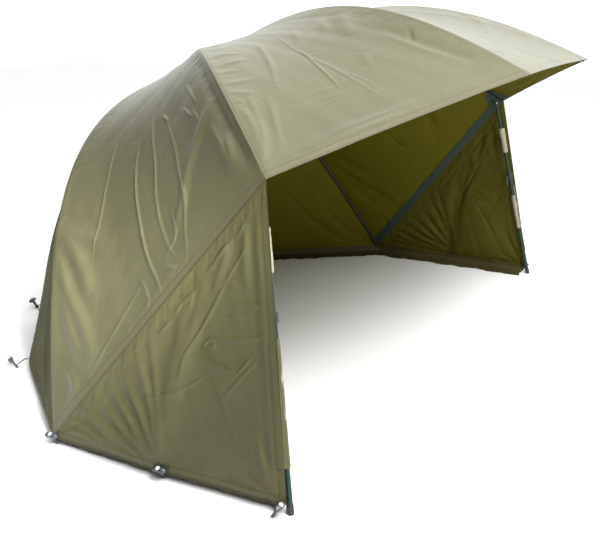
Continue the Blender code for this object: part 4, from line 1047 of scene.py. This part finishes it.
def wing_grid(side, rows, columns):
    """A wing's points, normals and map, finer at its front edge, seam and hem."""
    wing = Wing(side)
    band = FINE_EDGE / wing.depth
    x = np.concatenate((np.linspace(0, band, 32), np.linspace(band, 1, columns)[1:]))
    y = np.concatenate((WING_TOP_STEPS, np.linspace(0.014, 0.960, rows), WING_HEM_STEPS))
    points = wing.base(x[None, :], y[:, None])
    normals = wing.normals(points)
    top, bottom = wing.ends(x)
    length = np.linalg.norm(bottom - top, axis=-1)
    below = length * y[:, None]
    above = length * (1 - y[:, None])
    from_front = np.broadcast_to(x * wing.depth, below.shape)
    free = step(above, 0, 0.05) * step(below, 0, 0.03)
    away = raised(points, strokes(WING_FOLDS, WING_FOLD_SIZE, wing.base))
    away += 0.0020 * bell(below - 0.024, 0.022) * ripple(88 * x, 1.3) * step(below, 0.004, 0.016)
    away += 0.0028 * ripple(14 * x + 1.6 * y[:, None], 3.4) * free * step(from_front, 0.05, 0.12)
    away += 0.0016 * ripple(9 * y[:, None] - 4 * x, 6.2) * free * step(from_front, 0.05, 0.12)
    # The doubled front edge with the soft roll behind it, and the doubled, gathered hem
    full = step(below, 0.02, 0.12)
    away += full * (0.0040 * bell(from_front - 0.036, 0.011) - 0.0020 * bell(from_front - 0.060, 0.010))
    away += full * 0.0008 * bell(from_front - 0.011, 0.008) * ripple(70 * y[:, None], 7.7)
    away += WING_DOUBLED_RISE * (1 - step(above, HEM_BAND, HEM_BAND + BAND_END))
    away += WING_DOUBLED_RISE * (1 - step(from_front, EDGE_BAND, EDGE_BAND + BAND_END)) * full
    away += 0.0013 * bell(above - 0.013, 0.011) * ripple(150 * x, 5.1) * step(from_front, 0.02, 0.06)
    points = points + normals * away[..., None]
    # Above the seam the wing runs on for a little under the canopy's hem
    tuck = wing.panel.base(1 - TUCK_STEPS[:, None] / ARC, wing.across(x)[None, :])
    square = wing.canopy_normal(x)[None]
    points = np.concatenate((tuck - square * TUCK, points))
    normals = np.concatenate((np.repeat(square, len(TUCK_STEPS), axis=0), normals))
    above = np.concatenate((length + TUCK_STEPS[:, None], above))
    return points, normals, flat_map(x * wing.depth, above)


# Rows and columns of each wing, finer where the photograph shows it close
WING_GRIDS = {"left": (180, 170), "right": (110, 110)}


def make_wings(materials, flap, webbing):
    for side in SIDES:
        points, normals, uv = wing_grid(side, *WING_GRIDS[side])
        piece = shell(f"wing_cloth_{side}", points, normals, uv, materials)
        body = f"rib_corner_{side}"
        attach(piece, body, "wing_cloth", f"storm_wing_{side}")
        fade = step(np.arange(points.shape[1] - 9), -3, 5)
        extras = [
            make_flap(f"ground_flap_wing_{side}", points[-1, 9:], points[-3, 9:], body, flap, fade),
            make_wrap(side, materials[0]), *make_webbing(side, *webbing),
        ]
        declare_sheet(points)


def pole_frame(side):
    """The pole's top, the direction down it, outward and forward across it."""
    start, foot = pole_line(side)
    down = unit(foot - start)
    out = np.array((SIDES[side], 0.0, 0.0))
    out = unit(out - down * (out @ down))
    forward = np.cross(out, down) * -SIDES[side]
    forward = forward * np.sign(-forward[1])
    return start, down, out, forward


def edge_rows(side, high, low, count):
    """The points of a wing's front edge between two heights, with the pole's axis and directions."""
    wing = Wing(side)
    top, bottom = wing.base(0.0, 0.0), wing.base(0.0, 1.0)
    y = (top[2] - np.linspace(high, low, count)) / (top[2] - bottom[2])
    start, down, out, forward = pole_frame(side)
    edge = wing.base(0.0, y)
    axis = start + down * ((edge - start) @ down)[:, None]
    return wing, y, edge, axis, out, forward


def section_shell(name, points, centre, uv, material, thickness):
    """A strip made of cross-sections, its outer side away from a row of points."""
    normals = grid_normals(points)
    away = np.sum((points - centre[:, None]) * normals, -1)
    return shell(name, points, normals * np.sign(away.sum()), uv, [material], thickness)


WRAP_START = 0.024


def make_wrap(side, material):
    """The long stitched tab that turns in from a wing's front edge, round the outside of the lower pole."""
    wing, y, edge, axis, out, forward = edge_rows(side, 0.465, 0.125, 70)
    flat = wing.base(np.linspace(WRAP_START, 0.002, 9)[None, :] / wing.depth, y[:, None]) + wing.out * 0.0034
    turn = np.radians(np.linspace(35, 125, 14))
    ray = out * np.cos(turn)[:, None] + forward * np.sin(turn)[:, None]
    curl = axis[:, None] + ray[None] * (0.0107 + 0.0003 * ripple(60 * y, 3.3))[:, None, None]
    points = np.concatenate((flat, curl), axis=1)
    uv = flat_map(WRAP_START - run_along(points), edge[:, 2:] + 0.1)
    piece = section_shell(f"wing_wrap_{side}", points, axis - forward * 0.02, uv, material, 0.0010)
    return attach(piece, f"rib_corner_{side}", "wing_cloth")


def make_strap(name, side, high, low, radius, body, material):
    """The pale strap that ties a wing's front edge to its pole, between two heights."""
    wing, y, edge, axis, out, forward = edge_rows(side, high, low, 36)
    behind = wing.base(0.014 / wing.depth, y) - wing.out * 0.0022
    turn = np.radians(np.linspace(70, 265, 30))
    ray = out * np.cos(turn)[:, None] + forward * np.sin(turn)[:, None]
    size = radius + 0.0005 * ripple(2.5 * turn[None, :] + 55 * y[:, None], 1.0)
    size = size + 0.0004 * ripple(90 * y[:, None], 2.0)
    around = axis[:, None] + ray[None] * size[..., None]
    share = np.linspace(0, 1, 9)[None, :-1, None]
    straight = behind[:, None] * (1 - share) + around[:, :1] * share
    points = np.concatenate((straight, around), axis=1)
    uv = flat_map(run_along(points), edge[:, 2:])
    piece = section_shell(name, points, axis, uv, material, 0.0011)
    return attach(piece, body, "wing_cloth")


# Each strap's highest and lowest point and its radius round the pole
STRAPS = {"upper": (0.755, 0.637, 0.0108), "lower": (0.420, 0.250, 0.0104)}


def make_straps(material):
    for side in SIDES:
        for part, sizes in STRAPS.items():
            make_strap(f"pole_strap_{part}_{side}", side, *sizes, f"pole_{part}_{side}", material)


def make_tab(name, top, bottom, sag, body, material):
    """A flat piece of webbing between two edges, each given by its two ends."""
    u = np.linspace(0, 1, 9)[:, None]
    v = np.linspace(0, 1, 14)[:, None, None]
    a = top[0] * (1 - u) + top[1] * u
    b = bottom[0] * (1 - u) + bottom[1] * u
    points = a * (1 - v) + b * v + DOWN * (sag * np.sin(math.pi * v))
    normals = grid_normals(points)
    normals *= np.sign(normals[..., 2:].sum())
    uv = flat_map(0.03 * v[..., 0], 0.02 * u[..., 0])
    return attach(shell(name, points, normals, uv, [material], 0.0013), body, "wing_cloth")


NECK_UP, NECK_IN, NECK_HALF = 0.0095, 0.004, 0.0065


def make_peg_tab(peg, side, hem, half, body, material):
    """The loop from a point of a hem to the inner side of its peg's neck."""
    place, along, inward, stem = peg_frame(peg, side)
    neck = place + stem * NECK_UP - inward * NECK_IN
    top = hem - along * half, hem + along * half
    bottom = neck - along * NECK_HALF, neck + along * NECK_HALF
    return make_tab(f"{peg}_tab_{side}", top, bottom, 0.0, body, material)


def make_webbing(side, dark, teal):
    """The loops, tab and patch by which a wing's hem is pegged."""
    wing = Wing(side)
    body = f"rib_corner_{side}"
    middle = wing.base(0.5, 1.0) + wing.out * 0.0012
    place, _, _, stem = peg_frame("pole_peg", side)
    neck = place + stem * 0.0100
    front = wing.base(np.array((0.003, 0.030)) / wing.depth, np.ones(2)) + wing.out * 0.0016
    around = neck + wing.out * 0.007, neck - wing.out * 0.007
    return [
        make_peg_tab("wing_peg", side, middle, 0.011, body, dark),
        make_tab(f"pole_peg_tab_{side}", front, around, 0.001, body, teal),
        make_wing_patch(side, dark),
    ]


# Pegs and cords
PEG_LEAN = math.radians(32.0)
PEGS = {
    "side_peg": ((1.24750, 0.08554), (1, 0), "rib_side"),
    "wing_peg": ((1.25541, -0.33524), (1, 0), "rib_corner"),
    "pole_peg": ((1.27942, -0.71324), (0, -1), "rib_corner"),
    "skirt_peg": ((0.87200, 0.64376), (0.8406, 0.5417), "rib_rear"),
    "rear_peg": ((0.33500, 1.07176), (0.3205, 0.9473), "rib_rear"),
}
CORDS = {
    "skirt_cord": ((0.86323, 0.59172, 0.04133), (0.86942, 0.59901, 0.04424), (0.86626, 0.64006, 0.01606),
                   (0.87339, 0.64466, 0.01076)),
    "rear_cord": ((0.43366, 0.95412, 0.03987), (0.43692, 0.96349, 0.04116), (0.33281, 1.06529, 0.01606),
                  (0.33553, 1.07333, 0.01076)),
}
CORD_RADIUS = 0.002


def oblong(half_x, half_y, steps, power=0.75):
    turn = np.arange(steps) * 2 * math.pi / steps
    c, s = np.cos(turn), np.sin(turn)
    return np.stack((
        half_x * np.sign(c) * np.abs(c) ** power, half_y * np.sign(s) * np.abs(s) ** power, np.zeros(steps)
    ), -1)


def loft(rings):
    """A closed skin through rings of equal count, with a fan over each end."""
    steps = len(rings[0])
    verts = np.concatenate((rings[0].mean(0)[None], *rings, rings[-1].mean(0)[None]))
    faces = [(0, 1 + (i + 1) % steps, 1 + i) for i in range(steps)]
    for ring in range(len(rings) - 1):
        a, b = 1 + ring * steps, 1 + (ring + 1) * steps
        faces += [(a + i, a + (i + 1) % steps, b + (i + 1) % steps, b + i) for i in range(steps)]
    last, start = len(verts) - 1, 1 + (len(rings) - 1) * steps
    faces += [(start + i, start + (i + 1) % steps, last) for i in range(steps)]
    return verts, faces


HEAD_HEIGHT, HEAD_DROOP, HOOK_RADIUS, SPOT_RADIUS = 0.0440, 5.5, 0.0024, 0.0068
HEAD_HALF = (0.0248, 0.0098, 0.0084)
# Height, half width and half thickness
STEM_SECTIONS = (
    (0, 0.0055, 0.0040), (0.010, 0.0055, 0.0040), (0.017, 0.0063, 0.0040), (0.024, 0.0074, 0.0041),
    (0.032, 0.0088, 0.0044), (0.040, 0.0098, 0.0050),
)


def peg_mesh(name, plastic):
    """A T-headed peg in its own frame: a drooping domed bar, a stem that narrows to a neck, and a hook."""
    head = []
    for turn in np.linspace(0.06, math.pi - 0.06, 22):
        size, height = math.sin(turn) ** 0.62, -math.cos(turn)
        ring = oblong(HEAD_HALF[0] * size, HEAD_HALF[1] * size, 48)
        ring[:, 2] = HEAD_HEIGHT + height * HEAD_HALF[2] - HEAD_DROOP * ring[:, 0] ** 2
        head.append(ring)
    stem = []
    for height, across, thick in STEM_SECTIONS:
        ring = oblong(across, thick, 28, 0.55)
        ring[:, 2] = height if height else (0.0006 - ring[:, 1] * math.sin(PEG_LEAN)) / math.cos(PEG_LEAN)
        stem.append(ring)
    hook = []
    for turn in np.linspace(0, math.radians(115), 12):
        centre = np.array((0.011 * math.sin(turn), 0, 0.016 - 0.008 * (1 - math.cos(turn))))
        side = np.array((0.008 * math.sin(turn), 0, 0.011 * math.cos(turn)))
        side = side / np.linalg.norm(side)
        around = np.arange(12) * 2 * math.pi / 12
        thin = HOOK_RADIUS * (1 if turn < 1.9 else 0.6)
        hook.append(centre + thin * (np.cos(around)[:, None] * side + np.sin(around)[:, None] * (0, 1, 0)))
    verts, faces, spots, start = [], [], [], 0
    for rings, is_head in ((head, True), (stem, False), (hook, False)):
        some, more = loft(rings)
        top = is_head & (some[:, 2] > HEAD_HEIGHT - HEAD_DROOP * some[:, 0] ** 2)
        spots.append(some[:, :2] + np.where(top, 0, 1)[:, None])
        verts.append(some)
        faces += [tuple(start + i for i in face) for face in more]
        start += len(some)
    mesh = bpy.data.meshes.new(name)
    mesh.from_pydata(np.concatenate(verts).tolist(), [], faces)
    mesh.shade_smooth()
    mesh.materials.append(plastic)
    spots = np.concatenate(spots)
    layer = mesh.uv_layers.new(name="cloth")
    index = np.empty(len(mesh.loops), np.int32)
    mesh.loops.foreach_get("vertex_index", index)
    layer.data.foreach_set("uv", spots[index].astype(np.float32).ravel())
    return mesh


def peg_material(name):
    """Dark glossy moulding with a round pale spot on the crown of the head."""
    material = moulded_plastic(name, (0.045, 0.052, 0.056), 0.30)
    net = Net(material.node_tree)
    shader = material.node_tree.nodes["Principled BSDF"]
    plain = shader.inputs["Base Color"].links[0].from_socket
    split = net.node("ShaderNodeSeparateXYZ")
    net.join(net.map(), split.inputs[0])
    x, y = (net.times(split.outputs[i], split.outputs[i]) for i in (0, 1))
    out = net.math("SQRT", net.math("ADD", x, y))
    spot = net.math("MULTIPLY", net.math("SUBTRACT", SPOT_RADIUS, out), 2500, clamp=True)
    net.join(net.mix(spot, plain, (0.72, 0.73, 0.72)), shader.inputs["Base Color"])
    return material


def peg_frame(name, side):
    """A peg's place, and its directions along its bar, inward and up its stem."""
    (x, y), (out_x, out_y), _ = PEGS[name]
    way = SIDES[side]
    out = np.array((way * out_x, out_y, 0.0))
    inward = -out * math.cos(PEG_LEAN) - DOWN * math.sin(PEG_LEAN)
    stem = out * math.sin(PEG_LEAN) - DOWN * math.cos(PEG_LEAN)
    return np.array((way * x, y, 0.0)), np.cross(inward, stem), inward, stem


def make_pegs(plastic):
    for side in SIDES:
        for name, (_, _, body) in PEGS.items():
            place, along, inward, stem = peg_frame(name, side)
            mesh = peg_mesh(f"{name}_head_{side}", plastic)
            piece = add_object(mesh.name, mesh)
            turn = Matrix((along, inward, stem)).transposed().to_4x4()
            piece.matrix_world = Matrix.Translation(place) @ turn
            attach(piece, f"{body}_{side}", "peg_plastic", f"{name}_{side}")


def make_wing_patch(side, material):
    """A stitched rectangle of webbing on the outside of a wing's hem, over its peg."""
    wing = Wing(side)
    wide, low, high = 0.024, 0.001, 0.021
    x = 0.5 + np.linspace(-wide / 2, wide / 2, 12) / wing.depth
    top, bottom = wing.ends(x)
    length = np.linalg.norm(bottom - top, axis=-1)
    y = 1 - np.linspace(low, high, 14)[:, None] / length[None, :]
    points = wing.base(x[None], y)
    normals = wing.normals(points)
    points = points + normals * 0.0026
    uv = flat_map(np.linspace(0, high - low, 14)[:, None], x * wing.depth)
    piece = shell(f"wing_peg_patch_{side}", points, normals, uv, [material], 0.0012)
    return attach(piece, f"rib_corner_{side}", "wing_cloth")


def smoothed_route(route):
    """Close points along a route, with its corners rounded."""
    knots = [route[0]]
    for a, b in zip(route, route[1:]):
        count = max(2, int(np.linalg.norm(b - a) / 0.006))
        knots += [a + (b - a) * i / count for i in range(1, count + 1)]
    knots = np.array(knots)
    for _ in range(2):
        knots[1:-1] = knots[1:-1] * 0.5 + (knots[:-2] + knots[2:]) * 0.25
    return knots


def make_cords(material):
    for side, way in SIDES.items():
        for name, route in CORDS.items():
            knots = smoothed_route(np.array(route) * (way, 1, 1))
            curve = bpy.data.curves.new(f"{name}_line_{side}", "CURVE")
            curve.dimensions = "3D"
            curve.bevel_depth = CORD_RADIUS
            curve.bevel_resolution = 4
            curve.use_fill_caps = True
            spline = curve.splines.new("POLY")
            spline.points.add(len(knots) - 1)
            for point, knot in zip(spline.points, knots):
                point.co = (*knot, 1)
            curve.materials.append(material)
            piece = add_object(curve.name, curve)
            attach(piece, f"rib_rear_{side}", "cord", f"{name}_{side}")
            tuple(knots[0])
            length_of(knots)


def cord_material(name, colour):
    """Braided cord, plaited on the slant."""
    material, shader, net = new_material(name)
    place = net.place()
    waves = [net.wave(net.scaled(place, (110, 110, 110), turn), "X", 0.4) for turn in (0.7, -0.7)]
    braid = net.math("MAXIMUM", *waves)
    fuzz = net.noise(place, 700.0, 3.0)
    net.fill(shader, {
        "Base Color": net.mix(braid, tuple(v * 0.5 for v in colour), colour),
        "Normal": net.bump(fuzz, 0.2, 0.0002, net.bump(braid, 0.6, 0.0006)),
        "Roughness": 0.75, "Sheen Weight": 0.1,
    })
    return material


def dress_cad(finishes):
    """Give the CAD's own pieces their detailed finishes."""
    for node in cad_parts.values():
        for slot in node.material_slots:
            kind = slot.material.name.split(".")[0] if slot.material else ""
            if kind in finishes:
                slot.material = finishes[kind]


HEM_ROWS = ((1, 0.0205), (1, 0.003))
SEAM_ROWS = ((0, 0.0095), (0, -0.0095))
OUTER_ROWS = HEM_ROWS + ((0, 0.002),) + SEAM_ROWS
WING_ROWS = ((1, 0.019), (1, 0.003), (0, 0.002), (0, 0.020))
# Each cloth's light and dark colour, roughness, coat, shine, rows of stitches and turn of its streaks
CLOTHS = {
    "canopy_outside": ((0.118, 0.114, 0.058), (0.104, 0.100, 0.050), 0.50, 0.42, 0.30, OUTER_ROWS, 0.0),
    # The inside cloths have the yellower olive of the inner coating, made darker still as painted shade for
    # the shade inside the shelter.
    "canopy_inside_painted_shade": (
        (0.100, 0.088, 0.004), (0.088, 0.077, 0.003), 0.65, 0.0, 0.08, HEM_ROWS + SEAM_ROWS, 0.0
    ),
    # The same fabric, less glossy and a little darker, as painted shade behind the side ribs.
    "canopy_outside_back_painted_shade": ((0.112, 0.110, 0.056), (0.094, 0.092, 0.046), 0.72, 0.0, 0.06, OUTER_ROWS, 0.0),
    "wing_outside": ((0.092, 0.088, 0.037), (0.076, 0.073, 0.029), 0.48, 0.10, 0.25, WING_ROWS, 0.6),
    # The wing's inside cloth is likewise darker as painted shade.
    "wing_inside": ((0.075, 0.066, 0.006), (0.064, 0.056, 0.005), 0.60, 0.0, 0.10, WING_ROWS, 0.6),
    "ground_flap": ((0.066, 0.056, 0.018), (0.044, 0.038, 0.013), 0.62, 0.02, 0.2, ((1, 0.004),), 0.3),
}
CORD_COLOUR = (0.040, 0.060, 0.032)

make_camera()
make_floor()
make_room()
make_lamps()
cloths = {name: cloth_material(name, *values) for name, values in CLOTHS.items()}
green_tape = webbing_material("green_tape", (0.016, 0.040, 0.024))
teal_tape = webbing_material("teal_webbing", (0.030, 0.085, 0.070))
beige_tape = webbing_material("beige_tape", (0.42, 0.38, 0.27))
canopy_sides = [cloths[name] for name in ("canopy_outside", "canopy_inside_painted_shade", "canopy_outside_back_painted_shade")]
make_canopy(canopy_sides, cloths["ground_flap"], green_tape)
make_wings([cloths["wing_outside"], cloths["wing_inside"]], cloths["ground_flap"], (green_tape, teal_tape))
make_straps(beige_tape)
make_pegs(peg_material("peg_moulding"))
make_cords(cord_material("cord_weave", CORD_COLOUR))
dress_cad({
    "rib_metal": painted_metal("rib_paint", (0.016, 0.030, 0.022), 0.35, 0.40),
    "pole_metal": painted_metal("pole_paint", (0.014, 0.042, 0.032), 0.45, 0.34),
    "black_plastic": moulded_plastic("black_moulding", (0.012, 0.013, 0.013), 0.46),
    "bright_steel": bright_metal("bright_steel_finish"),
    "peg_plastic": peg_material("peg_finish"),
    "cord": cord_material("cord_finish", CORD_COLOUR),
})
